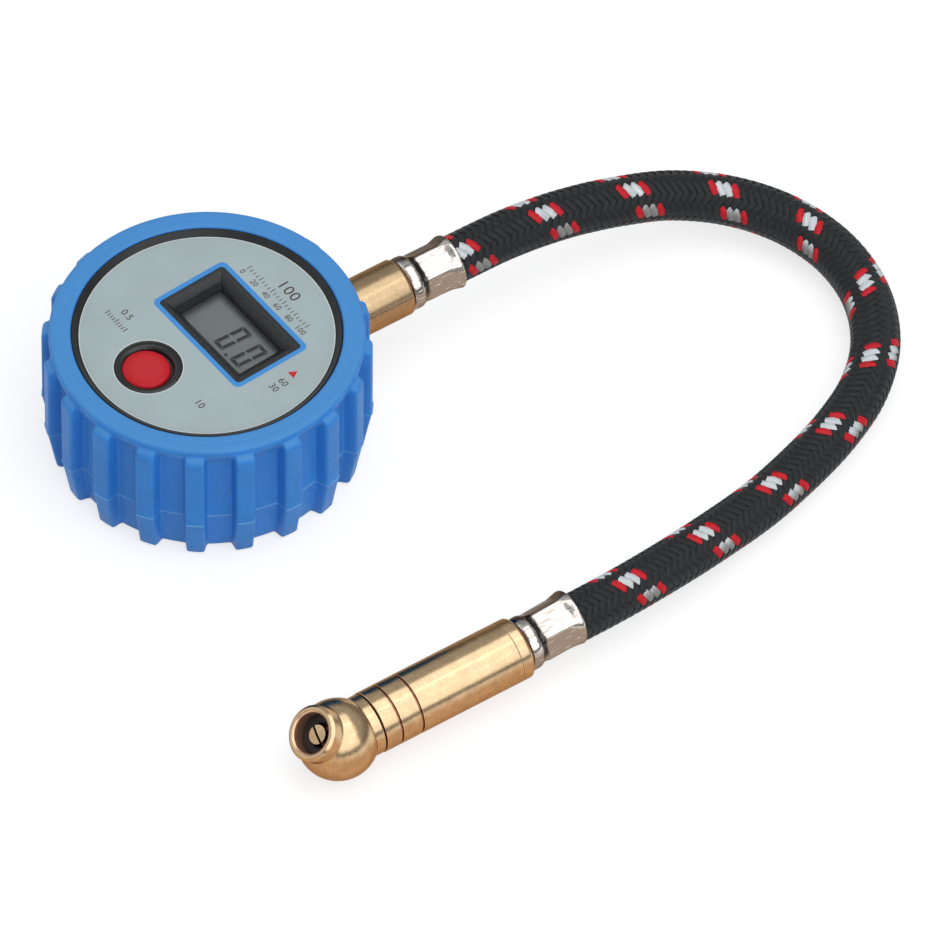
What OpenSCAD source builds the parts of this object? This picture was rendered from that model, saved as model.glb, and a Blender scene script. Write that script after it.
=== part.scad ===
// Digital tyre pressure gauge: a round head in a ribbed rubber boot, a braided hose
// with crimped ferrules, and a brass ball chuck whose head swivels on its barrel.
// Millimetres. The origin is the centre of the boot's rest face, +Z is up, +Y runs along the stem.

/* [Gauge head] */
// Height of the boot, from its rest face to its top ring
head_h = 38.5; // [37:0.5:42]
// Outside radius of the boot's top ring
ring_r = 37.5; // [37:0.5:40]
// Inside radius of the boot's lip round the face
lip_r = 32.8; // [32.7:0.1:33.2]
// Turn of the face and its print about the stem direction, in degrees
face_turn = 3.7; // [0:0.1:8]
// Wall thickness of the plastic housing
shell_t = 2.2; // [1.8:0.1:2.4]

/* [Boot ribs] */
// Number of rib places round the boot (one is left out for the stem)
rib_n = 20; // [16:1:24]
// Width of a rib at its outer face
rib_w = 4.4; // [3:0.1:5]
// Radius of the rib faces at the mould parting line
rib_r = 40; // [39:0.1:42]
// Height of the mould parting line
parting_z = 12.9; // [8:0.1:18]
// Turn of the rib pattern about the stem direction, in degrees
rib_turn = -1.4; // [-4:0.1:4]

/* [Face] */
// Length and height of the display window in the face
window = [32, 19.3];
// Centre of the window in the face's own axes
window_at = [0.7, 6.4];
// Length and height of the display that shows at the window's bottom
view = [24, 12.4];
// Radius of the push button's cap
cap_r = 5.9; // [5:0.1:6]
// Centre of the push button in the face's own axes
cap_at = [-0.7, -17.8];
// Radius of the button's opening in the face
dish_r = 8.35; // [8:0.05:9]
// Centre of that opening in the face's own axes
dish_at = [-0.4, -17.3];
// Travel of the push button
cap_travel = 0.7; // [0.4:0.1:0.8]

/* [Stem and ferrules] */
// Height of the stem's axis above the rest face
stem_z = 19; // [18:0.5:19]
// Radius of the brass stem
stem_r = 7.3; // [7:0.1:7.6]
// Distance from the head's centre to the stem's outer end
stem_end = 55.8; // [50:0.1:60]
// Length of a crimped ferrule
ferrule_l = 16; // [15:0.5:18]
// Width across the flats of a ferrule's crimped waist
ferrule_af = 12.3; // [12.2:0.1:13]

/* [Hose] */
// Outside radius of the hose
hose_r = 6; // [5.8:0.1:6.1]
// Radius of the hose where the ferrules squeeze it
squeezed_r = 5.4; // [5.2:0.1:5.4]
// Inside radius of the hose
hose_bore = 3.2; // [3.1:0.1:3.4]

/* [Ball chuck] */
// Sideways place of the chuck's axis
chuck_x = 103.4; // [100:0.1:106]
// Place of the ball's centre along the stem direction
ball_y = -30.2; // [-34:0.1:-26]
// Radius of the ball, which rests on the same surface as the boot
ball_r = 10; // [9.5:0.1:10.5]
// Radius of the barrel
barrel_r = 7.85; // [7.6:0.05:8.2]
// Length of the barrel
barrel_l = 39.1; // [36:0.1:42]
// Length of the tail cap's rim behind the barrel
tail_l = 3.3; // [3:0.1:5]
// Distance from the ball's centre to the face of the valve socket
socket_l = 11; // [10.8:0.1:12]
// Radius of the valve socket's bore
socket_r = 5; // [4.5:0.1:5.2]
// Depth of the mouth's straight wall, above the wider chamber that holds the seal
mouth_l = 2; // [1.8:0.1:2]
// Rise of the valve socket from the barrel's line, in degrees
socket_rise = 45; // [30:1:60]

/* [Hidden] */
$fn = 48;

// levels in the head, worked out downwards from the top ring
label_z = head_h - 1.5;
label_t = 0.2;
plate_z = label_z - label_t;
plate_t = 2.2;
under_z = plate_z - plate_t;
sill_z = under_z - 0.8;
lens_z = sill_z - 1.2;
lcd_z = lens_z - 2.2;
board_z = lcd_z - 1.2;
board_t = 1.6;
shoulder_z = plate_z - 0.8;
cover_z = 2.5;
cover_t = 3.5;
joint_z = cover_z + cover_t;
spigot_t = 2;

// radii in the head
shell_r = 34;
inner_r = shell_r - shell_t;
label_r = 30.94;
back_r = 25;
plug_r = 24.7;
boot_wall = 36.6;
post_at = 28;
boss_at = 26.5;
boss_turns = [115, 205, 335];
ledge_z = under_z - 0.2;
guide_r = cap_r + 0.12;
flange_r = cap_r + 1.1;
cell_at = [-3, -13];

// places along the stem, measured from the head's centre
pad_y = shell_r + 0.3;
pad_in = inner_r - 2.3;
neck_r = 4.9;
neck_end = 24.5;
oring_t = 0.45;
barb_l = 13;
barb_r = 2.95;
air_r = 1.4;

// places along the chuck, measured from the ball's centre
collar_l = 9;
barrel_y = collar_l + 0.2;
tail_y = barrel_y + barrel_l;
chuck_end = tail_y + tail_l;
spigot_r = 4.8;
front_bore = spigot_r + 0.05;
rear_bore = 6.2;
shoulder_y = 21.6;
seal_top = socket_l - 3.7;
seal_t = 2.5;
chamber_r = socket_r + 0.25;
chamber_top = socket_l - 0.4 - mouth_l;

// route of the hose from the stem's ferrule round to the chuck's, as its centre line
head_lip = stem_end + ferrule_l;
chuck_butt = ball_y + chuck_end;
chuck_lip = chuck_butt + ferrule_l;
route = [
    [0, stem_end + 13.5, stem_z], [0, head_lip, stem_z], [0, 86.7, 18.5], [1.1, 101.6, 17.2],
    [3.5, 116.2, 15.1], [7.6, 130.3, 12.6], [15.4, 142.7, 10.1], [27, 151.9, 8.2],
    [41.1, 156.3, 6.9], [55.9, 155.1, 6.2], [69.3, 148.6, 6.1], [79.7, 138, 6.1],
    [86.9, 124.9, 6.1], [92, 110.9, 6.1], [96.1, 96.5, 6.5], [98.9, 81.9, 7.4],
    [101.2, 67.1, 8.6], [102.8, 52.3, 9.6],
    [chuck_x, chuck_lip, ball_r], [chuck_x, chuck_butt + 13.5, ball_r]];
hose_steps = 3;
hose_sides = 10;

// ---- helpers ----

module face_frame() rotate(face_turn) children();

module along_y(at = [0, 0, 0]) translate(at) rotate([-90, 0, 0]) children();

module stem_frame() along_y([0, 0, stem_z]) children();

module chuck_frame() along_y([chuck_x, ball_y, ball_r]) children();

// the socket frame's +Z leaves the ball through the valve socket
module socket_frame() translate([chuck_x, ball_y, ball_r]) rotate([socket_rise, 0, 0]) children();

module ring(r_out, r_in, h) difference() {
    cylinder(r = r_out, h = h);
    translate([0, 0, -1]) cylinder(r = r_in, h = h + 2);
}

module torus(major, minor) rotate_extrude() translate([major, 0]) circle(r = minor, $fn = 20);

module rounded_plate(size, r, h) linear_extrude(height = h) rounded_rect(size, r);

module rounded_rect(size, r) union() {
    square([size.x - 2 * r, size.y], center = true);
    square([size.x, size.y - 2 * r], center = true);
    for (sx = [-1, 1], sy = [-1, 1])
        translate([sx * (size.x / 2 - r), sy * (size.y / 2 - r)]) circle(r = r, $fn = 24);
}

module at_posts() for (a = [45 : 90 : 315]) rotate(a) translate([post_at, 0, 0]) children();

module at_bosses() for (a = boss_turns) rotate(a) translate([boss_at, 0, 0]) children();

// barbed tail that the hose is pushed over, from z = 0 up
module barb() rotate_extrude() polygon([
    [0, 0], [barb_r - 0.3, 0], [barb_r - 0.3, 2.5],
    [barb_r, 2.6], [barb_r - 0.4, 6], [barb_r, 6.1], [barb_r - 0.4, 9.5],
    [barb_r, 9.6], [barb_r - 0.7, barb_l], [0, barb_l]]);

// ---- rubber boot ----

module boot_section() difference() {
    union() {
        polygon([
            [back_r, 0.7], [back_r + 0.7, 0], [34.2, 0], [35.2, 0.9],
            [boot_wall, parting_z - 0.25], [boot_wall + 0.2, parting_z], [boot_wall, parting_z + 0.25],
            [boot_wall - 0.2, head_h - 5.5], [ring_r - 0.35, head_h - 3.4], [ring_r, head_h - 2.8],
            [ring_r, head_h - 1.9], [ring_r - 1.9, head_h], [35.5, head_h],
            [35.3, head_h - 0.15], [35.1, head_h], [lip_r + 0.5, head_h], [lip_r, head_h - 0.5],
            [lip_r, 20], [back_r, 20]]);
        translate([ring_r - 1.9, head_h - 1.9]) circle(r = 1.9, $fn = 40);
    }
    translate([0, cover_z]) square([shell_r + 0.08, shoulder_z + 0.05 - cover_z]);
    translate([0, cover_z]) square([lip_r, head_h]);
}

// one rib: a drafted bar whose outer face leans in above and below the parting line
module rib() intersection() {
    rotate([90, 0, 0]) linear_extrude(height = 8, center = true) polygon([
        [35, 0.1], [37.4, 0.1], [37.9, 0.6],
        [rib_r, parting_z - 0.3], [rib_r + 0.15, parting_z], [rib_r, parting_z + 0.3],
        [rib_r - 1, head_h - 4.4], [rib_r - 1.4, head_h - 3.9], [ring_r - 0.5, head_h - 2.8],
        [35, head_h - 2.8]]);
    linear_extrude(height = head_h) polygon([
        [34.5, -rib_w / 2 - 0.8], [rib_r - 0.7, -rib_w / 2], [rib_r + 1, -rib_w / 2 + 0.5],
        [rib_r + 1, rib_w / 2 - 0.5], [rib_r - 0.7, rib_w / 2], [34.5, rib_w / 2 + 0.8]]);
}

module boot() color("#4286c8") difference() {
    union() {
        rotate_extrude($fn = 120) boot_section();
        for (i = [1 : rib_n - 1]) rotate(90 + rib_turn + i * 360 / rib_n) rib();
    }
    stem_frame() translate([0, 0, 30]) cylinder(r = stem_r + 0.15, h = 15);
    stem_frame() translate([0, 0, 30]) cylinder(r = 8.9, h = 4.6);
}

// ---- plastic housing ----

// the display's recess: a shallow step, sloping walls and the opening over the lens
module window_recess() translate([window_at.x, window_at.y, 0]) {
    translate([0, 0, label_z - 0.8]) rounded_plate(window, 1, 2);
    hull() {
        translate([0, 0, label_z - 0.81]) rounded_plate([window.x - 2.8, window.y - 2.8], 0.6, 0.02);
        translate([0, 0, sill_z + 0.5]) rounded_plate(view, 0.4, 0.02);
    }
    translate([0, 0, sill_z - 1]) rounded_plate(view, 0.4, 2);
    translate([0, 0, lens_z]) rounded_plate([28, 16.2], 0.5, sill_z - lens_z);
    translate([0, 0, 20]) rounded_plate([30.6, 17.6], 0.5, lens_z - 20);
}

module button_well() {
    translate([dish_at.x, dish_at.y, under_z + 0.9])
        cylinder(r1 = guide_r + 0.55, r2 = dish_r - 0.05, h = plate_z - under_z - 0.89);
    translate([cap_at.x, cap_at.y, under_z - 1]) cylinder(r = guide_r, h = 2.5);
    translate([cap_at.x, cap_at.y, under_z - 5]) cylinder(r = flange_r + 0.2, h = ledge_z - under_z + 5);
}

module front_housing() color("#2a2c2e") difference() {
    union() {
        rotate_extrude($fn = 120) polygon([
            [0, under_z], [inner_r, under_z], [inner_r, joint_z], [shell_r, joint_z],
            [shell_r, shoulder_z], [lip_r - 0.05, shoulder_z], [lip_r - 0.05, head_h - 0.4],
            [lip_r - 0.4, head_h - 0.25], [label_r + 0.35, label_z + 0.1],
            [label_r + 0.12, plate_z], [0, plate_z]]);
        face_frame() {
            translate([window_at.x, window_at.y, lcd_z - 0.8])
                rounded_plate([34.6, 21.6], 1.5, under_z - lcd_z + 1.8);
            translate([cap_at.x, cap_at.y, under_z - 3.2]) cylinder(r = 9, h = 4);
            at_posts() translate([0, 0, joint_z + spigot_t])
                cylinder(r = 3.5, h = under_z - joint_z - 1);
            at_bosses() translate([0, 0, board_z]) cylinder(r = 3, h = under_z - board_z + 1);
        }
        stem_frame() translate([0, 0, pad_in]) cylinder(r = 8.6, h = pad_y - pad_in);
    }
    face_frame() {
        window_recess();
        button_well();
        at_posts() cylinder(r = 1.52, h = 19);
        at_bosses() translate([0, 0, board_z - 1]) cylinder(r = 1, h = 5);
    }
    stem_frame() cylinder(r = neck_r + 0.1, h = 60);
}

module rear_cover() color("#303234") difference() {
    union() {
        rotate_extrude($fn = 120) polygon([
            [0, 0], [plug_r - 0.5, 0], [plug_r, 0.5], [plug_r, cover_z], [shell_r - 0.6, cover_z],
            [shell_r, cover_z + 0.6], [shell_r, joint_z],
            [33.5, joint_z], [33.5, joint_z - 0.95], [32.3, joint_z - 0.95], [32.3, joint_z],
            [inner_r - 0.1, joint_z], [inner_r - 0.1, joint_z + spigot_t],
            [inner_r - 2, joint_z + spigot_t], [inner_r - 2, joint_z], [0, joint_z]]);
        face_frame() at_posts() translate([0, 0, joint_z - 1]) cylinder(r = 3.2, h = spigot_t + 1);
    }
    face_frame() at_posts() {
        cylinder(r = 1.55, h = 20);
        translate([0, 0, cover_z - 1]) cylinder(r = 2.9, h = 2.7);
    }
}

module housing_seal() color("#1c1c1d")
    translate([0, 0, joint_z - oring_t]) torus(32.9, oring_t, $fn = 96);

module cover_screws() color("silver") face_frame() at_posts() {
    translate([0, 0, cover_z + 0.4]) cylinder(r = 2.7, h = 1.3);
    translate([0, 0, cover_z + 1.6]) cylinder(r = 1.5, h = 14);
}

// ---- face and display ----

module face_label() color("#a5b4b4") face_frame() difference() {
    translate([0, 0, plate_z]) cylinder(r = label_r, h = label_t, $fn = 120);
    translate([window_at.x, window_at.y, plate_z - 1]) rounded_plate(window, 1, 3);
    translate([dish_at.x, dish_at.y, plate_z - 1]) cylinder(r = dish_r, h = 3);
}

module lcd_lens() color("#c8d2d4", 0.4) face_frame()
    translate([window_at.x, window_at.y, lens_z]) rounded_plate([27.6, 15.8], 0.4, sill_z - lens_z);

module lcd_panel() color("#737d7d") face_frame()
    translate([window_at.x, window_at.y, lcd_z]) rounded_plate([30, 17], 0.3, lens_z - lcd_z);

module zebra_strips() color("#6d6f70") face_frame() for (s = [-1, 1])
    translate([window_at.x - 12, window_at.y + s * 7.2 - 0.9, board_z]) cube([24, 1.8, lcd_z - board_z]);

// ---- electronics ----

module pcb() color("#1f5c3a") difference() {
    translate([0, 0, board_z - board_t]) cylinder(r = 30.4, h = board_t, $fn = 96);
    face_frame() {
        at_posts() cylinder(r = 4.2, h = 60);
        at_bosses() cylinder(r = 1.1, h = 60);
    }
    at_pins() cylinder(r = 0.45, h = 60);
}

module pcb_screws() color("silver") face_frame() at_bosses() {
    translate([0, 0, board_z - board_t - 1.4]) cylinder(r = 1.9, h = 1.4);
    translate([0, 0, board_z - board_t - 0.1]) cylinder(r = 0.97, h = 5);
}

module controller_chip() color("#161718") face_frame()
    translate([8.5, 4.5, board_z - board_t - 1.2]) cube([9, 9, 1.2]);

module battery_holder() color("#202122") face_frame()
    translate([cell_at.x, cell_at.y, board_z - board_t - 4.6]) difference() {
        cylinder(r = 11.4, h = 4.6);
        translate([0, 0, -1]) cylinder(r = 9.6, h = 3);
        translate([0, 0, 0.8]) cylinder(r = 10.1, h = 3.2);
        translate([-20, -3, -1]) cube([40, 6, 2]);
    }

module coin_cell() color("#c8c9cb") face_frame()
    translate([cell_at.x, cell_at.y, board_z - board_t - 3.8]) {
        cylinder(r = 10, h = 2.6);
        translate([0, 0, 2.5]) cylinder(r = 8.8, h = 0.7);
    }

module switch_base() color("#232425") face_frame()
    translate([cap_at.x, cap_at.y, board_z]) difference() {
        translate([-3, -3, 0]) cube([6, 6, 3.2]);
        translate([0, 0, 2.5 - cap_travel]) cylinder(r = 1.8, h = 2);
    }

module switch_plunger() color("#d8d2c0") face_frame()
    translate([cap_at.x, cap_at.y, board_z + 2.6]) cylinder(r = 1.75, h = 1.5);

// the cap's dome stands a little below the face, and its flange stays under the well's ledge
module button_cap() color("#c31e28") face_frame()
    translate([cap_at.x, cap_at.y, board_z + 4.1]) rotate_extrude() polygon([
        [0, 0], [2, 0], [2, 1.3], [4.8, 1.3], [4.8, 0.2], [flange_r, 0.2], [flange_r, 1],
        [cap_r, 1], [cap_r, 2.2], [cap_r - 0.25, 2.5], [cap_r - 0.8, 2.72], [4, 2.85], [2, 2.97], [0, 3]]);

// ---- pressure sensor ----

module at_pins() for (y = [17 : 1.8 : 23]) translate([0, y, 0]) children();

module pressure_sensor() color("#b9bcc0") difference() {
    union() {
        stem_frame() translate([0, 0, neck_end - 9]) cylinder(r = 6, h = 9);
        stem_frame() translate([0, 0, neck_end - 1]) cylinder(r = 2.5, h = 4.8);
        translate([-1.6, 16, stem_z + 4]) cube([3.2, 7, 3.2]);
    }
    stem_frame() translate([0, 0, neck_end + 1.5]) ring(3, 1.85, 1.2);
    stem_frame() translate([0, 0, neck_end - 3]) cylinder(r = 0.8, h = 12);
}

module sensor_oring() color("#1c1c1d") stem_frame() translate([0, 0, neck_end + 2.1]) torus(2.22, 0.36);

module sensor_pins() color("#c9a24a") at_pins() translate([0, 0, stem_z + 7.2])
    cylinder(r = 0.35, h = board_z + 0.3 - stem_z - 7.2, $fn = 16);

// ---- stem, nut and ferrules ----

module inlet_stem() color("#b9875a") stem_frame() difference() {
    union() {
        translate([0, 0, neck_end]) cylinder(r = neck_r, h = 12);
        rotate_extrude() polygon([
            [0, pad_y], [stem_r - 0.3, pad_y], [stem_r, pad_y + 0.3],
            [stem_r, stem_end - 0.9], [stem_r - 0.3, stem_end - 0.3], [stem_r - 0.9, stem_end], [0, stem_end]]);
        translate([0, 0, stem_end]) barb();
    }
    translate([0, 0, pad_y - 1]) ring(6.8, 5.3, 1.95);
    translate([0, 0, neck_end - 1]) cylinder(r = 2.6, h = 6.5);
    cylinder(r = air_r, h = 100);
}

module stem_oring() color("#1c1c1d") stem_frame() translate([0, 0, pad_y + oring_t]) torus(6.05, oring_t);

module stem_nut() color("#c6a36a") stem_frame() translate([0, 0, pad_in - 4]) difference() {
    rotate(30) cylinder(r = 7 / cos(30), h = 4, $fn = 6);
    translate([0, 0, -1]) cylinder(r = neck_r + 0.03, h = 6);
}

// crimped ferrule: a rolled shoulder, an eight-sided waist and a flared mouth
module ferrule() difference() {
    union() {
        rotate_extrude() {
            translate([5.15, 1.95]) circle(r = 1.95, $fn = 32);
            polygon([[0, 0], [5.15, 0], [6.4, 3.4], [5.9, 4.6], [0, 4.6]]);
        }
        translate([0, 0, 2]) rotate(22.5) cylinder(r = ferrule_af / 2 / cos(22.5), h = ferrule_l - 4, $fn = 8);
        rotate_extrude() {
            translate([5.6, ferrule_l - 1.3]) circle(r = 1.3, $fn = 32);
            polygon([[0, ferrule_l - 4.4], [5.9, ferrule_l - 4.4], [6.5, ferrule_l - 2.3],
                [6.6, ferrule_l], [0, ferrule_l]]);
        }
    }
    translate([0, 0, -1]) cylinder(r = barb_r + 0.15, h = 3);
    rotate_extrude() polygon([
        [0, 0.8], [squeezed_r + 0.06, 0.8], [squeezed_r + 0.06, ferrule_l - 2.6],
        [hose_r + 0.15, ferrule_l - 0.2], [hose_r + 0.15, ferrule_l + 1], [0, ferrule_l + 1]]);
}

module gauge_ferrule() color("#d9dadc") along_y([0, stem_end, stem_z]) ferrule();

module chuck_ferrule() color("#d9dadc") along_y([chuck_x, chuck_butt, ball_r]) ferrule();

// ---- hose ----

// point at t on the curve through p1 and p2
function curve(p0, p1, p2, p3, t) =
    0.5 * (2 * p1 + (p2 - p0) * t + (2 * p0 - 5 * p1 + 4 * p2 - p3) * t * t
    + (3 * p1 - p0 - 3 * p2 + p3) * t * t * t);

function unit(v) = v / norm(v);

// stations of the hose: [point, outside radius], squeezed inside both ferrules
last = len(route) - 1;
stations = concat(
    [[[0, stem_end + 0.85, stem_z], squeezed_r], [route[0], squeezed_r]],
    [for (i = [1 : last - 2], k = [0 : hose_steps - 1])
        [curve(route[i - 1], route[i], route[i + 1], route[i + 2], k / hose_steps), hose_r]],
    [[route[last - 1], hose_r], [route[last], squeezed_r],
        [[chuck_x, chuck_butt + 0.85, ball_r], squeezed_r]]);

function tangent(i) = unit(stations[min(i + 1, len(stations) - 1)][0] - stations[max(i - 1, 0)][0]);

function hoop(i, r) = let (t = tangent(i), side = unit(cross(t, [0, 0, 1])), up = cross(side, t))
    [for (k = [0 : hose_sides - 1]) stations[i][0]
        + r * (side * cos(k * 360 / hose_sides) + up * sin(k * 360 / hose_sides))];

module hose() color("#26282a") {
    m = len(stations);
    n = hose_sides;
    points = concat(
        [for (i = [0 : m - 1]) each hoop(i, stations[i][1])],
        [for (i = [0 : m - 1]) each hoop(i, hose_bore)]);
    outer = [for (i = [0 : m - 2], k = [0 : n - 1]) let (j = (k + 1) % n)
        [i * n + k, i * n + j, (i + 1) * n + j, (i + 1) * n + k]];
    inner = [for (q = outer) [q[3] + m * n, q[2] + m * n, q[1] + m * n, q[0] + m * n]];
    caps = [for (k = [0 : n - 1]) let (j = (k + 1) % n, e = (m - 1) * n)
        each [[k, k + m * n, j + m * n, j], [e + k, e + j, e + j + m * n, e + k + m * n]]];
    polyhedron(points, concat(outer, inner, caps), convexity = 6);
}

// ---- ball chuck ----

module chuck_tail() color("#b9875a") chuck_frame() difference() {
    union() {
        translate([0, 0, tail_y - 10]) cylinder(r = rear_bore - 0.04, h = 11);
        rotate_extrude() polygon([
            [0, tail_y], [barrel_r - 0.15, tail_y], [barrel_r, tail_y + 0.15],
            [barrel_r, chuck_end - 1], [barrel_r - 0.35, chuck_end - 0.35], [barrel_r - 1, chuck_end],
            [0, chuck_end]]);
        translate([0, 0, chuck_end]) barb();
    }
    cylinder(r = air_r, h = 100);
}

module chuck_barrel() color("#c4935f") chuck_frame() rotate_extrude() polygon([
    [front_bore, barrel_y], [barrel_r - 0.2, barrel_y], [barrel_r, barrel_y + 0.2],
    [barrel_r, barrel_y + 4.1], [barrel_r - 0.35, barrel_y + 4.4], [barrel_r, barrel_y + 4.7],
    [barrel_r, barrel_y + 10], [barrel_r - 0.35, barrel_y + 10.3], [barrel_r, barrel_y + 10.6],
    [barrel_r, tail_y - 0.15], [barrel_r - 0.15, tail_y], [rear_bore, tail_y],
    [rear_bore, shoulder_y], [front_bore, shoulder_y]]);

module swivel_oring() color("#1c1c1d") chuck_frame() translate([0, 0, 15.7]) torus(4.24, 0.57);

module swivel_clip() color("#9a9da0") chuck_frame() translate([0, 0, shoulder_y + 0.3])
    rotate_extrude(angle = 320) translate([4.05, 0]) square([1.65, 0.7]);

// ball, neck and valve socket in one brass piece, bored from the spigot to the socket
module chuck_head() color("#bf8f5c") difference() {
    union() {
        translate([chuck_x, ball_y, ball_r]) sphere(r = ball_r, $fn = 64);
        chuck_frame() rotate_extrude() polygon([
            [0, 2], [7.7, 2], [7.7, collar_l - 0.3], [7.4, collar_l], [spigot_r, collar_l],
            [spigot_r, 24.3], [spigot_r - 0.4, 24.7], [0, 24.7]]);
        socket_frame() rotate_extrude() polygon([
            [0, 0], [6.85, 0], [6.85, socket_l - 0.6], [6.3, socket_l], [0, socket_l]]);
    }
    chuck_frame() {
        cylinder(r = 1.8, h = 40);
        translate([0, 0, 15]) ring(6, 3.66, 1.4);
        translate([0, 0, shoulder_y + 0.25]) ring(6, 4, 0.85);
    }
    socket_frame() {
        cylinder(r = 1.8, h = 5);
        translate([0, 0, seal_top - seal_t - 1.2])
            cylinder(r = chamber_r, h = chamber_top - seal_top + seal_t + 1.2);
        translate([0, 0, chamber_top - 0.01]) cylinder(r = socket_r, h = 20);
        translate([0, 0, socket_l - 0.4]) cylinder(r1 = socket_r, r2 = socket_r + 0.45, h = 0.41);
    }
}

module valve_seal() color("#222324") socket_frame() translate([0, 0, seal_top - seal_t])
    ring(chamber_r - 0.02, 2.7, seal_t);

// slotted disc that opens the tyre valve, on a drilled foot held under the seal
module depressor() color("#c9a063") socket_frame() translate([0, 0, seal_top - seal_t - 1.2])
    difference() {
        union() {
            cylinder(r = chamber_r - 0.05, h = 1.2);
            cylinder(r = 1.4, h = 4);
            translate([0, 0, 3.6]) cylinder(r = 2.4, h = 1.3);
        }
        for (a = [0 : 120 : 240]) rotate(a) translate([2.05, 0, -1]) cylinder(r = 0.4, h = 3);
        rotate(20) translate([-4, -0.3, 4.2]) cube([8, 0.6, 2]);
    }

// ---- drawing ----

boot();
front_housing();
rear_cover();
housing_seal();
cover_screws();
face_label();
lcd_lens();
lcd_panel();
zebra_strips();
pcb();
pcb_screws();
controller_chip();
battery_holder();
coin_cell();
switch_base();
switch_plunger();
button_cap();
pressure_sensor();
sensor_oring();
sensor_pins();
inlet_stem();
stem_oring();
stem_nut();
gauge_ferrule();
hose();
chuck_ferrule();
chuck_tail();
chuck_barrel();
swivel_oring();
swivel_clip();
chuck_head();
valve_seal();
depressor();
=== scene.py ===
"""Digital tyre pressure gauge, dressed for rendering.

A round head in a ribbed rubber boot with a display under a window and a red button, a
braided hose between two crimped ferrules, and a brass ball chuck that swivels on its barrel.
Sizes below are millimetres. The rest face is z 0, +Z is up and +Y runs along the stem.
"""
import math
from functools import partial, partialmethod

import bmesh
import bpy
import numpy as np
from mathutils import Matrix, Vector


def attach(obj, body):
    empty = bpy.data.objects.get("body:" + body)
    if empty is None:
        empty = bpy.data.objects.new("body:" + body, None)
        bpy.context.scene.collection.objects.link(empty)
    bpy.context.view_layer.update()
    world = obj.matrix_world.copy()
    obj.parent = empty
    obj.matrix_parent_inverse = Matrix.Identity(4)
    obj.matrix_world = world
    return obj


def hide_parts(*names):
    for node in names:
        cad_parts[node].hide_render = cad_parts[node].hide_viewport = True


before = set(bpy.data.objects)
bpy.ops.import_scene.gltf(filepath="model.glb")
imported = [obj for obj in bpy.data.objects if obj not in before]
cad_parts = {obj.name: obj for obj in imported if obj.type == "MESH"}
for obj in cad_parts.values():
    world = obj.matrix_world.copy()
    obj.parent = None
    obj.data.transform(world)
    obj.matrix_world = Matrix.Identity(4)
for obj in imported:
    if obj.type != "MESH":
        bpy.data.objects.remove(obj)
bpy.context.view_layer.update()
MM = 0.001
scene = bpy.context.scene
scene.view_settings.view_transform = "Standard"

# ---- places that several pieces share ----

FACE_TURN = math.radians(3.7)  # the face against the stem
STEM_Z = 19  # height of the stem's axis
STEM_END = 55.8  # the stem's butt face
CHUCK_X = 103.4  # the chuck's axis, which runs along y
BALL_Y = -30.2
BALL_R = 10
BARREL_R = 7.85
GROOVE_R = 7.42
BUTT_Y = 21.4  # the chuck's butt face
HOSE_SEAT = 0.85  # gap between a butt face and the hose's cut end
PARTING_Z = 12.9  # the boot's mould line
LABEL_Z = 37.0  # printed side of the face label
LABEL_R = 30.94
PRINT_T = 0.024
LCD_Z = 32.6
# middles of the window, the button and the dish round it, in the face's own axes
WINDOW = (0.7, 6.4)
CAP_AT = (-0.7, -17.8)
DISH_AT = (-0.4, -17.3)
DISH_R = 8.35

LYING = (-math.pi / 2, 0, 0)  # turns +z to +y
TILTED = (math.pi / 4, 0, 0)  # turns +z half way up from -y


def frame_at(place, turn):
    return Matrix.Translation(place) @ Matrix.Rotation(turn[0], 4, "X")


BALL_AT = (CHUCK_X, BALL_Y, BALL_R)
FACE = Matrix.Rotation(FACE_TURN, 4, "Z")
STEM = frame_at((0, 0, STEM_Z), LYING)
CHUCK = frame_at(BALL_AT, LYING)
SOCKET = frame_at(BALL_AT, TILTED)


def face_frame(spot):
    """The face's own axes, moved to a place on it."""
    return FACE @ Matrix.Translation((*spot, 0))


def set_down(name, data):
    """A new object in the scene."""
    obj = bpy.data.objects.new(name, data)
    scene.collection.objects.link(obj)
    return obj


# ---- camera ----

CAMERA_AT = Vector((2164.03, -1389.36, 3100.15))
CAMERA_AIM = Vector((51.96, 43.21, 8.0))
CAMERA_ROLL = math.radians(0.73)

camera = set_down("camera", bpy.data.cameras.new("camera"))
camera.data.lens = 629.5
camera.data.sensor_width = 36
camera.data.clip_end = 100
camera.location = CAMERA_AT * MM
aim = (CAMERA_AIM - CAMERA_AT).to_track_quat("-Z", "Y").to_matrix().to_4x4()
camera.rotation_euler = (aim @ Matrix.Rotation(CAMERA_ROLL, 4, "Z")).to_euler()
scene.camera = camera


# ---- node trees ----

def feed(tree, socket, value):
    """Joins a wire to a socket, or sets the socket to a plain value."""
    if isinstance(value, Wire):
        tree.links.new(value.socket, socket)
    else:
        socket.default_value = value


def add_node(tree, kind, inputs=None, **settings):
    """A node with its settings made and its inputs fed, by name or by number."""
    node = tree.nodes.new(kind)
    for name, value in settings.items():
        setattr(node, name, value)
    for name, value in (inputs or {}).items():
        feed(tree, node.inputs[name], value)
    return node


def wire(tree, kind, inputs=None, output=0, **settings):
    """One output of a new node, as a wire."""
    return Wire(tree, add_node(tree, kind, inputs, **settings).outputs[output])


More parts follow.
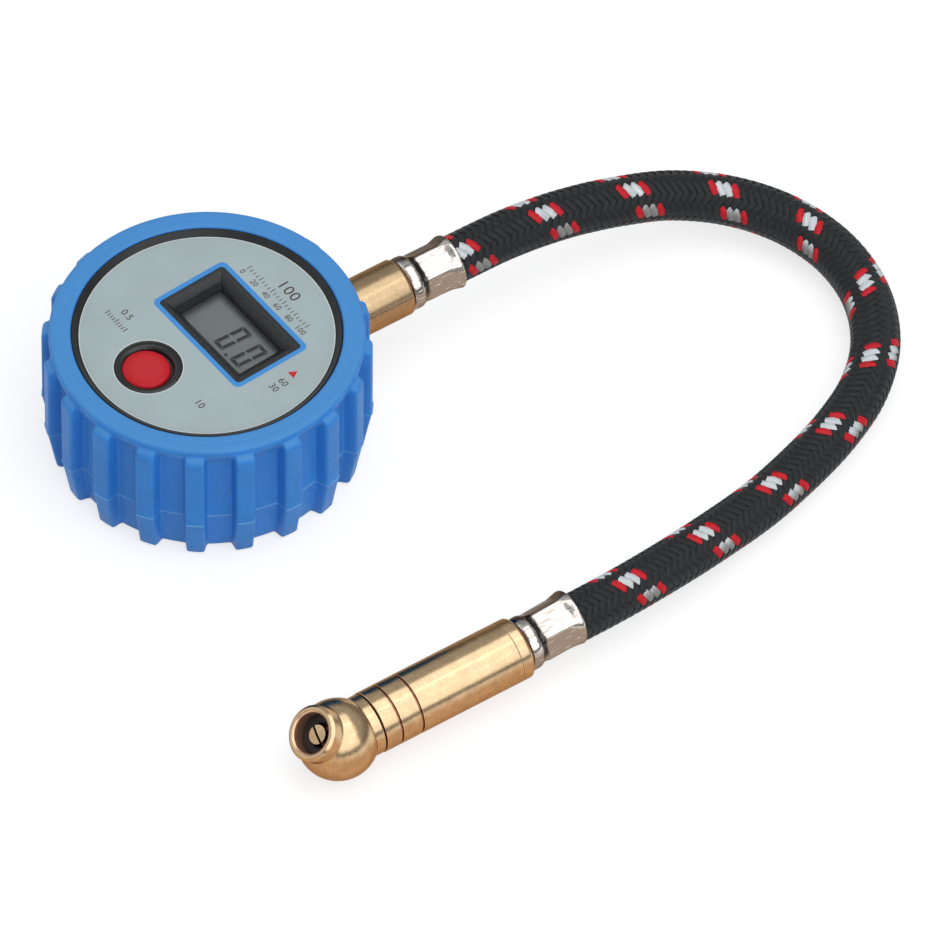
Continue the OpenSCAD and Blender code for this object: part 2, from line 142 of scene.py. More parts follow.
class Wire:
    """A node's output that takes part in sums."""

    def __init__(self, tree, socket):
        self.tree, self.socket = tree, socket

    def math(self, operation, *others):
        return wire(self.tree, "ShaderNodeMath", dict(enumerate((self, *others))), operation=operation)

    def vector(self, operation, *others, output=0):
        return wire(self.tree, "ShaderNodeVectorMath", dict(enumerate((self, *others))), output,
                    operation=operation)

    def scaled(self, factor):
        return wire(self.tree, "ShaderNodeVectorMath", {0: self, "Scale": factor}, operation="SCALE")

    def axes(self):
        """The three parts of a vector."""
        split = add_node(self.tree, "ShaderNodeSeparateXYZ", {0: self})
        return [Wire(self.tree, out) for out in split.outputs]

    def from_axis(self):
        """How far a point lies from the z axis."""
        return self.vector("MULTIPLY", (1.0, 1.0, 0.0)).vector("LENGTH", output="Value")

    __add__ = partialmethod(math, "ADD")
    __sub__ = partialmethod(math, "SUBTRACT")
    __mul__ = partialmethod(math, "MULTIPLY")
    __truediv__ = partialmethod(math, "DIVIDE")

    def eased(self, low, high, start=0.0, end=1.0):
        """Goes smoothly from start to end while the wire goes from low to high."""
        return wire(self.tree, "ShaderNodeMapRange", {
            "Value": self, "From Min": low, "From Max": high, "To Min": start, "To Max": end},
            interpolation_type="SMOOTHSTEP")


def geometry_tree(name, sizes):
    """A geometry tree with named number inputs. Gives the tree, its inputs and its own wire()."""
    tree = bpy.data.node_groups.new(name, "GeometryNodeTree")
    for way in ("INPUT", "OUTPUT"):
        tree.interface.new_socket("Geometry", in_out=way, socket_type="NodeSocketGeometry")
    for key, value in sizes.items():
        kind = "NodeSocketInt" if isinstance(value, int) else "NodeSocketFloat"
        tree.interface.new_socket(key, in_out="INPUT", socket_type=kind).default_value = value
    entry = add_node(tree, "NodeGroupInput")
    return tree, {s.name: Wire(tree, s) for s in entry.outputs if s.name}, partial(wire, tree)


def close_tree(tree, geometry, material):
    """Ends a geometry tree: instances made real, material set."""
    real = wire(tree, "GeometryNodeRealizeInstances", {"Geometry": geometry})
    dressed = wire(tree, "GeometryNodeSetMaterial", {"Geometry": real, "Material": material})
    add_node(tree, "NodeGroupOutput", {0: dressed})
    return tree


def grown(name, seed_mesh, tree, sizes):
    """The plain mesh object that a geometry tree makes from a mesh."""
    source = set_down(name + "_source", seed_mesh)
    modifier = source.modifiers.new("grow", "NODES")
    modifier.node_group = tree
    for socket in tree.interface.items_tree:
        if socket.in_out == "INPUT" and socket.name in sizes:
            modifier[socket.identifier] = sizes[socket.name]
    result = settled(source, name)
    bpy.data.objects.remove(source)
    return result


def settled(obj, name):
    """A new plain object with obj's modifiers worked into its mesh."""
    graph = bpy.context.evaluated_depsgraph_get()
    mesh = bpy.data.meshes.new_from_object(obj.evaluated_get(graph), depsgraph=graph)
    mesh.name = name
    return set_down(name, mesh)


# ---- finishes ----

def linear(red, green, blue):
    """A shader's colour from screen values 0 to 255."""
    def straight(v):
        v /= 255
        return v / 12.92 if v <= 0.04045 else ((v + 0.055) / 1.055) ** 2.4
    return (straight(red), straight(green), straight(blue), 1.0)


def shade(colour, factor):
    return tuple(min(1.0, c * factor) for c in colour[:3]) + (1.0,)


class Finish:
    """A material under construction: a Principled shader and what drives its sockets."""

    def __init__(self, name, colour, roughness, **constants):
        self.material = bpy.data.materials.new(name)
        self.material.use_nodes = True
        self.tree = self.material.node_tree
        self.shader = self.tree.nodes["Principled BSDF"]
        self.here = wire(self.tree, "ShaderNodeTexCoord", output="Object")
        self.drive(Base_Color=colour, Roughness=roughness, **constants)

    def drive(self, **sockets):
        """Feeds the shader's sockets. Their names have a low line for each space."""
        for key, value in sockets.items():
            feed(self.tree, self.shader.inputs[key.replace("_", " ")], value)
        return self

    def driver(self, socket):
        """What drives a socket so far."""
        return Wire(self.tree, self.shader.inputs[socket].links[0].from_socket)

    def placed(self, at=(0, 0, 0), turn=(0, 0, 0), scale=(1, 1, 1)):
        """Object coordinates in millimetres, seen from a place and turn, then multiplied by scale."""
        return wire(self.tree, "ShaderNodeMapping", {
            "Vector": self.here, "Location": tuple(c * MM for c in at), "Rotation": turn,
            "Scale": tuple(MM / c for c in scale)}, vector_type="TEXTURE")

    def attribute(self, name, output="Vector"):
        return wire(self.tree, "ShaderNodeAttribute", None, output, attribute_name=name)

    def noise(self, scale, detail, roughness=0.5, where=None):
        return wire(self.tree, "ShaderNodeTexNoise", {
            "Vector": where or self.placed(), "Scale": scale, "Detail": detail,
            "Roughness": roughness}, "Fac")

    def mixed(self, factor, first, second, blend="MIX"):
        return wire(self.tree, "ShaderNodeMix", {0: factor, 6: first, 7: second}, 2,
                    data_type="RGBA", blend_type=blend)

    def toned(self, by, low, high, colour, darker, lighter):
        """The colour, from darker to lighter by factors while a wire goes from low to high."""
        return self.mixed(by.eased(low, high), shade(colour, darker), shade(colour, lighter))

    def relief(self, height, depth):
        """Bump from a height wire in 0 to 1, depth in millimetres."""
        return self.drive(Normal=wire(self.tree, "ShaderNodeBump", {
            "Height": height, "Distance": depth * MM, "Strength": 1.0}))

    def grained(self, tone, grain, smooth, rough, depth=0.0):
        """The finished material: its gloss and its relief follow one grain."""
        self.drive(Base_Color=tone, Roughness=grain.eased(0.3, 0.7, smooth, rough))
        return (self.relief(grain, depth) if depth else self).material


def moulded(name, colour, roughness, grain=2.0, depth=0.01, spread=0.12, **constants):
    """Moulded or machined stock with a fine grain, cloudy colour and uneven gloss."""
    f = Finish(name, colour, roughness, **constants)
    tone = f.toned(f.noise(0.12, 3), 0.3, 0.7, colour, 1 - spread, 1 + spread)
    return f.grained(tone, f.noise(grain, 4, 0.6), roughness * 0.88, min(1.0, roughness * 1.15), depth)


def facing(f):
    """The three parts of the direction a surface faces, as wires."""
    return wire(f.tree, "ShaderNodeNewGeometry", output="Normal").axes()


def by_side(f, above, below, flank_at, painted_dark):
    """Painted reflection: one colour on top and another on the underside of a lying piece, both darkened
    on its far flank as painted shade.
    """
    out, _, up = facing(f)
    uneven = (f.noise(0.5, 3) - 0.5) * 0.2
    # Top and underside tones by which way the surface faces: painted reflection.
    tone = f.mixed((up + uneven).eased(0.24, 0.56), below, above)
    # The far flank darkened: painted shade.
    return f.mixed((uneven - out).eased(*flank_at), tone, f.mixed(1.0, tone, painted_dark, "MULTIPLY"))


BRASS = (0.62, 0.445, 0.262, 1.0)
# Brass for the underside: a painted floor reflection.
BRASS_PAINTED_UNDERSIDE = (0.43, 0.225, 0.10, 1.0)
BRASS_EDGE = (0.62, 0.5, 0.42, 1.0)
BRASS_GRAIN = (1.3, 1.32, 1.34, 1.0)
# Painted shade in the grooves.
BRASS_GROOVE_SHADE = (0.3, 0.13, 0.08, 1.0)
# Lighter brass in the ball's bore: painted light.
BORE_BRASS_PAINTED_LIGHT = (0.85, 0.54, 0.37, 1.0)


def turned_brass(name, roughness, axis, turn, along=0.0, lustre=1.0, grooves=0.0):
    """Brass off the lathe: fine rings round its axis, lengthwise rubbing by a share, bloom and grain, a
    painted floor reflection below, painted shade on its far flank and in whatever lies nearer the axis
    than the grooves' radius."""
    bright, painted_dark = shade(BRASS, lustre), shade(BRASS_PAINTED_UNDERSIDE, lustre)
    f = Finish(name, bright, roughness, Metallic=1.0, Specular_Tint=BRASS_EDGE)
    rings = f.noise(1.0, 4, 0.7, f.placed(axis, turn, (0.25, 0.25, 5.0)))
    rubbed = f.noise(1.0, 4, 0.6, f.placed(axis, turn, (4.0, 4.0, 0.15)))
    bloom = f.noise(0.35, 4, 0.55)
    grain = f.noise(2.2, 4, 0.75)
    # Underside in a painted floor reflection, far flank in painted shade.
    tone = by_side(f, f.toned(bloom, 0.35, 0.68, bright, 0.93, 1.06),
                   f.toned(bloom, 0.35, 0.68, painted_dark, 0.92, 1.08), (0.12, 0.5), (0.42, 0.38, 0.35, 1.0))
    tone = f.mixed(grain.eased(0.4, 0.66, 0, 0.75), tone, f.mixed(1.0, tone, BRASS_GRAIN, "MULTIPLY"))
    # Painted shade in the grooves and in whatever else lies nearer the axis.
    if grooves:
        sunk = f.placed(axis, turn).from_axis().eased(grooves, grooves - 0.2)
        tone = f.mixed(sunk, tone, BRASS_GROOVE_SHADE)
    worn = rings * (1 - along) + rubbed * along
    f.drive(Base_Color=tone,
            Roughness=(worn + grain * 0.6).eased(0.5, 1.1, roughness * 0.8, roughness * 1.25))
    return f.relief(worn + grain * 0.8, 0.006)


def ball_brass_finish():
    """The ball's brass, with a rougher bored socket, lighter in colour as painted light, so that it
    shows brown.
    """
    f = turned_brass("brass_ball", 0.2, BALL_AT, TILTED)
    spot = f.placed(BALL_AT, TILTED)
    # The bore's lighter colour is painted light. Its extra roughness is its finish.
    bore = spot.from_axis().eased(5.4, 5.25) * spot.axes()[2].eased(3.0, 4.0)
    return f.drive(Base_Color=f.mixed(bore, f.driver("Base Color"), BORE_BRASS_PAINTED_LIGHT),
                   Roughness=f.driver("Roughness") + bore * 0.25).material


def disc_brass():
    """Turned brass, darker in the slot and below the disc's face as painted shade."""
    face = (SOCKET @ Matrix.Translation((0, 0, 8.2))).translation
    f = turned_brass("brass_disc", 0.25, face, TILTED)
    # Painted shade in the slot and below the disc's face.
    deep = f.placed(face, TILTED).axes()[2].eased(0.08, -0.1)
    return f.drive(Base_Color=f.mixed(deep, f.driver("Base Color"), (0.12, 0.06, 0.04, 1.0))).material


def boot_rubber():
    """Blue moulded rubber: satin, cloudy, with fine grain and pale dust specks, and paler on upward
    faces as painted light.
    """
    colour = linear(56, 144, 231)
    f = Finish("boot_rubber", colour, 0.46, Specular_IOR_Level=0.32)
    mottle = f.noise(0.9, 4, 0.65)
    grain = f.noise(4.5, 3, 0.6)
    dust = f.noise(2.2, 5, 0.75)
    tone = f.toned(f.noise(0.09, 4, 0.6), 0.32, 0.68, colour, 0.93, 1.07)
    tone = f.mixed(mottle.eased(0.3, 0.7, 0.0, 0.35), tone, shade(colour, 0.86))
    # Upward faces paler: painted light.
    tone = f.mixed(facing(f)[2].eased(0.3, 0.95, 0.0, 0.75), tone, linear(77, 145, 202))
    tone = f.mixed(grain.eased(0.35, 0.65, 0.22, 0.0), tone, linear(40, 100, 180))
    tone = f.mixed(dust.eased(0.64, 0.8, 0.0, 0.45), tone, linear(120, 175, 222))
    height = f.placed().axes()[2]
    line = (height + (f.noise(0.25, 2) - 0.5) * 0.5 - PARTING_Z).math("ABSOLUTE")
    tone = f.mixed(line.eased(0.14, 0.34, 0.5, 0.0), tone, linear(128, 184, 230))
    f.drive(Base_Color=tone, Roughness=mottle.eased(0.25, 0.75, 0.4, 0.54))
    return f.relief(grain * 0.9 + mottle * 0.8, 0.05).material


def braid_yarn():
    """Polyester braid. The yarns carry their own tone: 0 black, 1 red, 2 pale. Pale yarns turn grey
    where they face down, as painted shade.
    """
    f = Finish("braid", linear(29, 30, 32), 0.5, Specular_IOR_Level=0.24)
    tone = f.attribute("tracer", "Fac")
    strands = f.noise(1.0, 2, 0.5, f.attribute("UVMap").vector("MULTIPLY", (0.55, 22.0, 1.0)))
    fuzz = f.noise(9.0, 3, 0.7)
    black, red, white, grey = (
        f.mixed(strands.eased(0.3, 0.7), linear(*low), linear(*high)) for low, high in (
            ((28, 30, 32), (46, 48, 51)), ((178, 18, 30), (214, 40, 52)),
            ((176, 184, 188), (228, 233, 236)), ((122, 121, 118), (164, 163, 160))))
    # Pale yarns grey where they face down: painted shade.
    pale = f.mixed(f.attribute("outward").axes()[2].eased(0.3, 0.62), grey, white)
    coloured = f.mixed(tone.math("GREATER_THAN", 1.5), red, pale)
    f.drive(Base_Color=f.mixed(tone.math("GREATER_THAN", 0.5), black, coloured),
            Roughness=fuzz.eased(0.3, 0.7, 0.46, 0.66))
    return f.relief(strands + fuzz * 0.4, 0.03).material


CREASE_AT = 4.1  # the crimp's crease, from a ferrule's butt face


def chrome_plate(name, butt):
    """Chrome over crimped steel: bright, rippled, streaked and flecked, with a painted floor reflection
    below, painted shade on its far flank and painted shade in the crease.
    """
    f = Finish(name, (0.75, 0.72, 0.69, 1.0), 0.1, Metallic=1.0, Specular_Tint=(0.56, 0.48, 0.42, 1.0))
    ripple = f.noise(0.55, 3, 0.5)
    flecks = f.noise(1.6, 5, 0.72)
    _, place, height = f.placed(butt).axes()
    wiped = f.noise(0.8, 4, 0.6, f.placed(scale=(2.6, 0.3, 2.6)))
    above = f.mixed(wiped.eased(0.46, 0.64), (0.76, 0.73, 0.69, 1.0), (0.47, 0.41, 0.355, 1.0))
    # Underside tones: a painted floor reflection.
    below = f.mixed(wiped.eased(0.56, 0.68), (0.31, 0.23, 0.175, 1.0), (0.66, 0.6, 0.53, 1.0))
    # Far flank darkened: painted shade.
    tone = by_side(f, above, below, (0.05, 0.35), (0.13, 0.13, 0.135, 1.0))
    tone = f.mixed(flecks.eased(0.5, 0.72, 0, 0.55), tone, (0.34, 0.28, 0.24, 1.0))
    # Painted shade in the crease, on its upper side only.
    crease = (place - CREASE_AT + (ripple - 0.5) * 1.1).math("ABSOLUTE")
    crease_shade = crease.eased(0.45, 1.2, 0.95, 0.0) * height.eased(-1.5, 1.5)
    f.drive(Base_Color=f.mixed(crease_shade, tone, (0.03, 0.028, 0.027, 1.0)),
            Roughness=flecks.eased(0.3, 0.75, 0.07, 0.2))
    return f.relief(ripple + flecks * 0.05, 0.06).material


def clear_window():
    """Clear plastic with a faint haze."""
    f = Finish("clear_lens", (0.5, 0.54, 0.54, 1.0), 0.06, Alpha=0.05, Specular_IOR_Level=0.2)
    return f.drive(Roughness=f.noise(0.4, 3).eased(0.3, 0.7, 0.04, 0.1)).material


def display_glass():
    """Grey display, darker where the window's frame shades it, with a pale line along its near edge."""
    colour = linear(112, 120, 120)
    f = Finish("display_glass", colour, 0.35)
    across, up, _ = f.placed(turn=(0, 0, FACE_TURN)).axes()
    left = across.eased(WINDOW[0] - 12.4, WINDOW[0] - 9.6)
    top = up.eased(WINDOW[1] + 6.4, WINDOW[1] + 4.2)
    near_edge = up.eased(WINDOW[1] - 5.75, WINDOW[1] - 5.95)
    tone = f.toned(f.noise(5.0, 3, 0.7), 0.35, 0.7, colour, 0.95, 1.04)
    tone = f.mixed(left * top, shade(colour, 0.32), tone)
    return f.drive(Base_Color=f.mixed(near_edge * 0.7, tone, linear(205, 208, 205))).material


# the blue frame printed round the window
FRAME_HALF = (17.2, 10.85)
FRAME_CORNER = 1.7


def round_box(spot, half, radius):
    """Distance in millimetres from a point to a rounded rectangle round the origin, as a wire."""
    reach = spot.vector("ABSOLUTE").vector("SUBTRACT", (half[0] - radius, half[1] - radius, 0.0))
    return reach.vector("MAXIMUM", (0.0, 0.0, 0.0)).from_axis() - radius


def label_film():
    """Printed grey film with a faint sparkle, a blue frame round the window and pale cut edges."""
    colour = linear(164, 179, 181)
    f = Finish("label_film", colour, 0.42, Specular_IOR_Level=0.35)
    fleck = f.noise(3.5, 4, 0.7)
    tone = f.toned(f.noise(0.06, 3), 0.3, 0.7, colour, 0.96, 1.04)
    tone = f.mixed(fleck.eased(0.45, 0.7, 0, 0.35), tone, linear(176, 190, 192))
    window = f.placed(face_frame(WINDOW).translation, (0, 0, FACE_TURN))
    frame_edge = round_box(window, FRAME_HALF, FRAME_CORNER)
    tone = f.mixed(frame_edge.eased(0.12, -0.06), tone, linear(66, 142, 212))
    for spot, low, high in (((0, 0), LABEL_R - 0.22, 40.0), (DISH_AT, 0.0, DISH_R + 0.2)):
        away = f.placed(face_frame(spot).translation).from_axis()
        tone = f.mixed(away.eased(low - 0.08, low + 0.08) * away.eased(high + 0.08, high - 0.08),
                       tone, linear(208, 216, 217))
    return f.grained(tone, fleck, 0.36, 0.5, 0.004)


def bezel_plastic():
    """Black moulded plastic, with the fine texture of an eroded mould."""
    colour = linear(33, 34, 35)
    f = Finish("bezel_plastic", colour, 0.42, Specular_IOR_Level=0.4)
    tone = f.toned(f.noise(0.2, 3), 0.3, 0.7, colour, 0.85, 1.15)
    return f.grained(tone, f.noise(3.5, 4, 0.7), 0.36, 0.5, 0.02)


def trim_plastic():
    """Black window trim, coarsely textured and rubbed grey."""
    colour = linear(34, 35, 36)
    f = Finish("trim_plastic", colour, 0.38, Specular_IOR_Level=0.45)
    texture = f.noise(1.9, 3, 0.6)
    return f.grained(f.toned(texture, 0.4, 0.65, colour, 0.8, 1.9), texture, 0.32, 0.5, 0.09)


def cap_red():
    """Red button plastic, paler in its middle and deeper red towards its rim."""
    f = Finish("cap_red", linear(190, 34, 42), 0.42, Specular_IOR_Level=0.2)
    away = f.placed(face_frame(CAP_AT).translation).from_axis()
    mottle = f.noise(2.4, 4, 0.75)
    tone = f.mixed(away.eased(3.2, 5.2), linear(194, 42, 49), linear(188, 24, 34))
    tone = f.mixed(mottle.eased(0.5, 0.75, 0, 0.4), tone, linear(204, 66, 72))
    return f.grained(tone, mottle, 0.36, 0.5, 0.012)


def inked(name, colour):
    """Printing ink, a little worn."""
    f = Finish(name, colour, 0.5, Specular_IOR_Level=0.3)
    wear = f.noise(3.0, 3, 0.7)
    return f.grained(f.toned(wear, 0.35, 0.7, colour, 1.0, 1.25), wear, 0.44, 0.56)


def board_green():
    """Green solder mask over faint copper tracks."""
    mask = linear(24, 84, 52)
    f = Finish("board_green", mask, 0.35)
    tracks = add_node(f.tree, "ShaderNodeTexBrick", {
        "Vector": f.placed(), "Color1": mask, "Color2": linear(28, 92, 58),
        "Mortar": linear(52, 122, 78), "Scale": 0.6, "Mortar Size": 0.03})
    colour, height = (Wire(f.tree, out) for out in tracks.outputs)
    return f.drive(Base_Color=colour).relief(height, 0.02).material


# ---- mesh building ----

ON_AXIS = 1e-6
SAME_SPOT = 1e-7
FILLET_STEP = 14  # degrees


def solid(name, points, faces, material, sharp=34):
    """A mesh object from points in millimetres, with its normals outwards, smooth but for edges."""
    mesh = bpy.data.meshes.new(name)
    mesh.from_pydata([tuple(c * MM for c in p) for p in points], [], faces)
    mesh.materials.append(material)
    return cleaned(set_down(name, mesh), sharp)


def cleaned(obj, sharp=34, recalculate=True):
    """Merges doubles, turns normals outwards and smooths all but the sharp edges."""
    work = bmesh.new()
    work.from_mesh(obj.data)
    bmesh.ops.remove_doubles(work, verts=work.verts, dist=SAME_SPOT)
    if recalculate:
        bmesh.ops.recalc_face_normals(work, faces=work.faces)
    work.to_mesh(obj.data)
    work.free()
    obj.data.shade_smooth()
    obj.data.set_sharp_from_angle(angle=math.radians(sharp))
    return obj


def add_ring(points, ring):
    """Puts a ring of points after the others and gives their numbers."""
    points += ring
    return list(range(len(points) - len(ring), len(points)))


def bands(rings, closed):
    """Faces between neighbouring rings, and from the last to the first of closed ones."""
    faces = []
    for low, high in zip(rings, rings[1:] + (rings[:1] if closed else [])):
        for k in range(len(low)):
            j = (k + 1) % len(low)
            faces.append((low[k], low[j], high[j], high[k]))
    return faces


def eased_corners(corners):
    """The outline with its corners rounded. A corner is (radius, height) or (radius, height, fillet)."""
    outline = []
    for i, corner in enumerate(corners):
        here = Vector(corner[:2])
        if len(corner) < 3:
            outline.append(tuple(here))
            continue
        back, ahead = (Vector(corners[k % len(corners)][:2]) - here for k in (i - 1, i + 1))
        half = back.angle(ahead) / 2
        cut = min(corner[2] / math.tan(half), 0.49 * back.length, 0.49 * ahead.length)
        radius = cut * math.tan(half)
        back, ahead = back.normalized(), ahead.normalized()
        middle = here + (back + ahead).normalized() * radius / math.sin(half)
        start, end = here + back * cut - middle, here + ahead * cut - middle
        steps = max(2, math.ceil((180 - 2 * math.degrees(half)) / FILLET_STEP))
        sweep = start.angle_signed(end)
        for k in range(steps + 1):
            arm = start.copy()
            arm.rotate(Matrix.Rotation(-sweep * k / steps, 2))
            outline.append(tuple(middle + arm))
    return outline


def arc(centre, radius, start, end, steps):
    """Points on an arc of the outline, angles in degrees from the outward direction."""
    angles = [math.radians(start + (end - start) * k / steps) for k in range(steps + 1)]
    return [(centre[0] + radius * math.cos(a), centre[1] + radius * math.sin(a)) for a in angles]


def lathed(name, corners, at, material, segments=96, sharp=34, radius_at=None):
    """A turned solid: the outline goes round the axis of frame at. Off the axis it closes on itself."""
    outline = eased_corners(corners)
    points, rings = [], []
    for radius, height in outline:
        ring = []
        for k in range(segments):
            angle = 2 * math.pi * k / segments
            reach = radius_at(radius, height, angle) if radius_at else radius
            ring.append(at @ Vector((reach * math.cos(angle), reach * math.sin(angle), height)))
        rings.append(add_ring(points, ring))
    closed = max(outline[0][0], outline[-1][0]) > ON_AXIS
    return solid(name, points, bands(rings, closed), material, sharp)


def carved(obj, operation, other, sharp=34):
    """obj welded to another solid, or cut by it, as one closed surface."""
    modifier = obj.modifiers.new("carve", "BOOLEAN")
    modifier.operation, modifier.object, modifier.solver = operation, other, "EXACT"
    name = obj.name
    result = settled(obj, name)
    for old in (obj, other):
        bpy.data.objects.remove(old)
    result.name = name
    return cleaned(result, sharp, recalculate=False)


def dress(obj, body, slot, *nodes):
    """Attaches a finished piece to its body and hides the nodes that it stands for. Its slot is not
    used.
    """
    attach(obj, body)
    if nodes:
        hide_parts(*nodes)
    return obj


# ---- hose ----

ROUTE = [
    (0, 69.3, 19), (0, 71.8, 19), (0, 86.7, 18.5), (1.1, 101.6, 17.2), (3.5, 116.2, 15.1),
    (7.6, 130.3, 12.6), (15.4, 142.7, 10.1), (27, 151.9, 8.2), (41.1, 156.3, 6.9),
    (55.9, 155.1, 6.2), (69.3, 148.6, 6.1), (79.7, 138, 6.1), (86.9, 124.9, 6.1),
    (92, 110.9, 6.1), (96.1, 96.5, 6.5), (98.9, 81.9, 7.4), (101.2, 67.1, 8.6),
    (102.8, 52.3, 9.6), (CHUCK_X, 37.4, 10), (CHUCK_X, 34.9, 10)]
ROUTE_STEPS = 12
HOSE_R = 5.9
SQUEEZED_R = 5.2  # inside the ferrules
HOSE_BORE = 3.2
CORE_GAP = 0.35  # from the braid's middle down to the rubber
CORE_SWELLS = (12, 15)  # distances from its ends
CORE_SIDES = 24
YARNS = 12  # of each hand
YARN_PITCH = 23.87
YARN_STATION = 0.48
YARN_ROUND = 2 * math.pi * HOSE_R
YARN_LEAN = math.atan(YARN_ROUND / YARN_PITCH)
# a yarn dives along the edge of the yarn that crosses it, so its phase changes across its width too
YARN_SKEW = -math.pi * math.cos(YARN_LEAN) * (1 / YARN_ROUND - YARN_ROUND / YARN_PITCH ** 2)
BRAID_TWIST = 0.1736  # degrees for each millimetre of hose


def hose_line():
    """Centre line of the hose in millimetres, from one ferrule's butt to the other's."""
    route = np.array(ROUTE, float)
    line = [(0, STEM_END + HOSE_SEAT, STEM_Z), tuple(route[0])]
    for p0, p1, p2, p3 in zip(route, route[1:], route[2:], route[3:]):
        for t in np.arange(ROUTE_STEPS) / ROUTE_STEPS:
            line.append(tuple(0.5 * (2 * p1 + (p2 - p0) * t + (2 * p0 - 5 * p1 + 4 * p2 - p3) * t * t
                                     + (3 * p1 - p0 - 3 * p2 + p3) * t ** 3)))
    return line + [tuple(route[-2]), tuple(route[-1]), (CHUCK_X, BUTT_Y + HOSE_SEAT, BALL_R)]


def braid_tree(sizes, material):
    """Braid over a centre line: two families of yarns that float over each other in lengthwise rows."""
    tree, size, go = geometry_tree("braid_weave", sizes)

    def kept(geometry, name, value, kind="FLOAT", domain="POINT"):
        return go("GeometryNodeStoreNamedAttribute", {
            "Geometry": geometry, "Name": name, "Value": value}, data_type=kind, domain=domain)

    def named(name, kind="FLOAT"):
        return go("GeometryNodeInputNamedAttribute", {"Name": name}, data_type=kind)

    centre = go("GeometryNodeMeshToCurve", {"Mesh": size["Geometry"]})
    straight = go("GeometryNodeCurvePrimitiveLine", {"End": (0.0, 0.0, 1.0)})
    straight = go("GeometryNodeResampleCurve", {"Curve": straight, "Count": size["stations"]})
    copies = add_node(tree, "GeometryNodeDuplicateElements", {
        "Geometry": straight, "Amount": size["yarns"] * 2}, domain="SPLINE")
    copied, number = (Wire(tree, out) for out in copies.outputs)
    yarns = kept(copied, "number", number, domain="CURVE")
    number = named("number")
    along = go("GeometryNodeSplineParameter", output="Factor") * size["length"]
    second = number.math("GREATER_THAN", size["yarns"] - 0.5)
    rank = number - second * size["yarns"]
    hand = second * 2.0 - 1.0
    angle = (rank / size["yarns"] + hand * along / size["pitch"]) * (2 * math.pi) + size["yarn_phase"]
    phase = angle - size["float_phase"]
    angle = angle + along * size["twist"]
    from_end = along.math("MINIMUM", size["length"] - along)
    sleeve = from_end.eased(size["ferrule"] - size["rise"], size["ferrule"])
    reach = size["squeezed"] + sleeve * (size["radius"] - size["squeezed"])
    sample = add_node(tree, "GeometryNodeSampleCurve", {
        "Curves": centre, "Length": along}, mode="LENGTH")
    point, tangent = (Wire(tree, sample.outputs[name]) for name in ("Position", "Tangent"))
    side = tangent.vector("CROSS_PRODUCT", (0.0, 0.0, 1.0)).vector("NORMALIZE")
    up = side.vector("CROSS_PRODUCT", tangent)
    outward = side.scaled(angle.math("COSINE")).vector("ADD", up.scaled(angle.math("SINE")))
    # four yarns of the first family are coloured: pale between red
    pale = rank.math("SUBTRACT", 1.5).math("ABSOLUTE").math("LESS_THAN", 1.0)
    tracer = second.math("LESS_THAN", 0.5) * rank.math("LESS_THAN", 3.5) * (pale + 1.0)
    yarns = kept(yarns, "outward", outward, "FLOAT_VECTOR")
    for name, value in (("tracer", tracer), ("along", along / MM), ("phase", phase), ("hand", hand),
                        ("lift", sleeve * 0.6 + 0.4)):
        yarns = kept(yarns, name, value)
    placed = point.vector("ADD", outward.scaled(reach))
    yarns = go("GeometryNodeSetPosition", {"Geometry": yarns, "Position": placed})
    outward = named("outward", "FLOAT_VECTOR")
    yarns = go("GeometryNodeSetCurveNormal", {"Curve": yarns, "Normal": outward}, mode="FREE")
    section = go("GeometryNodeCurvePrimitiveCircle", {"Resolution": 6, "Radius": 0.5}, mode="RADIUS")
    stretch = go("ShaderNodeCombineXYZ", {0: size["yarn_thickness"], 1: size["yarn_width"], 2: 1.0})
    section = go("GeometryNodeTransform", {"Geometry": section, "Scale": stretch})
    section = kept(section, "across", go("GeometryNodeInputPosition").axes()[1])
    section = kept(section, "around", go("GeometryNodeSplineParameter", output="Factor"))
    mesh = go("GeometryNodeCurveToMesh", {"Curve": yarns, "Profile Curve": section, "Fill Caps": True})
    phase = named("phase") + named("across") * size["skew"]
    wave = (phase * 6.0).math("COSINE").eased(-0.75, 0.75, -1.0, 1.0) * size["float_height"]
    wave = (wave - size["float_bias"]) * named("hand") * named("lift") * -1.0
    mesh = go("GeometryNodeSetPosition", {"Geometry": mesh, "Offset": outward.scaled(wave)})
    cover = go("ShaderNodeCombineXYZ", {0: named("along"), 1: named("around")})
    return close_tree(tree, kept(mesh, "UVMap", cover, "FLOAT2", "CORNER"), material)


def hose_core(line, material):
    """Rubber tube under the braid."""
    middle = np.array(line, float)
    tangent = np.gradient(middle, axis=0)
    tangent /= np.linalg.norm(tangent, axis=1)[:, None]
    side = np.cross(tangent, (0, 0, 1.0))
    side /= np.linalg.norm(side, axis=1)[:, None]
    up = np.cross(side, tangent)
    travelled = np.concatenate([[0], np.cumsum(np.linalg.norm(np.diff(middle, axis=0), axis=1))])
    from_end = np.minimum(travelled, travelled[-1] - travelled)
    outer = np.interp(from_end, CORE_SWELLS, (SQUEEZED_R - CORE_GAP, HOSE_R - CORE_GAP))
    angles = np.linspace(0, 2 * math.pi, CORE_SIDES, endpoint=False)[:, None]
    spokes = side[:, None] * np.cos(angles) + up[:, None] * np.sin(angles)
    skin = middle[:, None] + spokes * outer[:, None, None]
    bore = middle[:, None] + spokes * HOSE_BORE
    points = []
    rings = [add_ring(points, ring) for ring in np.concatenate([skin, bore[::-1]]).tolist()]
    return solid("hose_core", points, bands(rings, True), material)


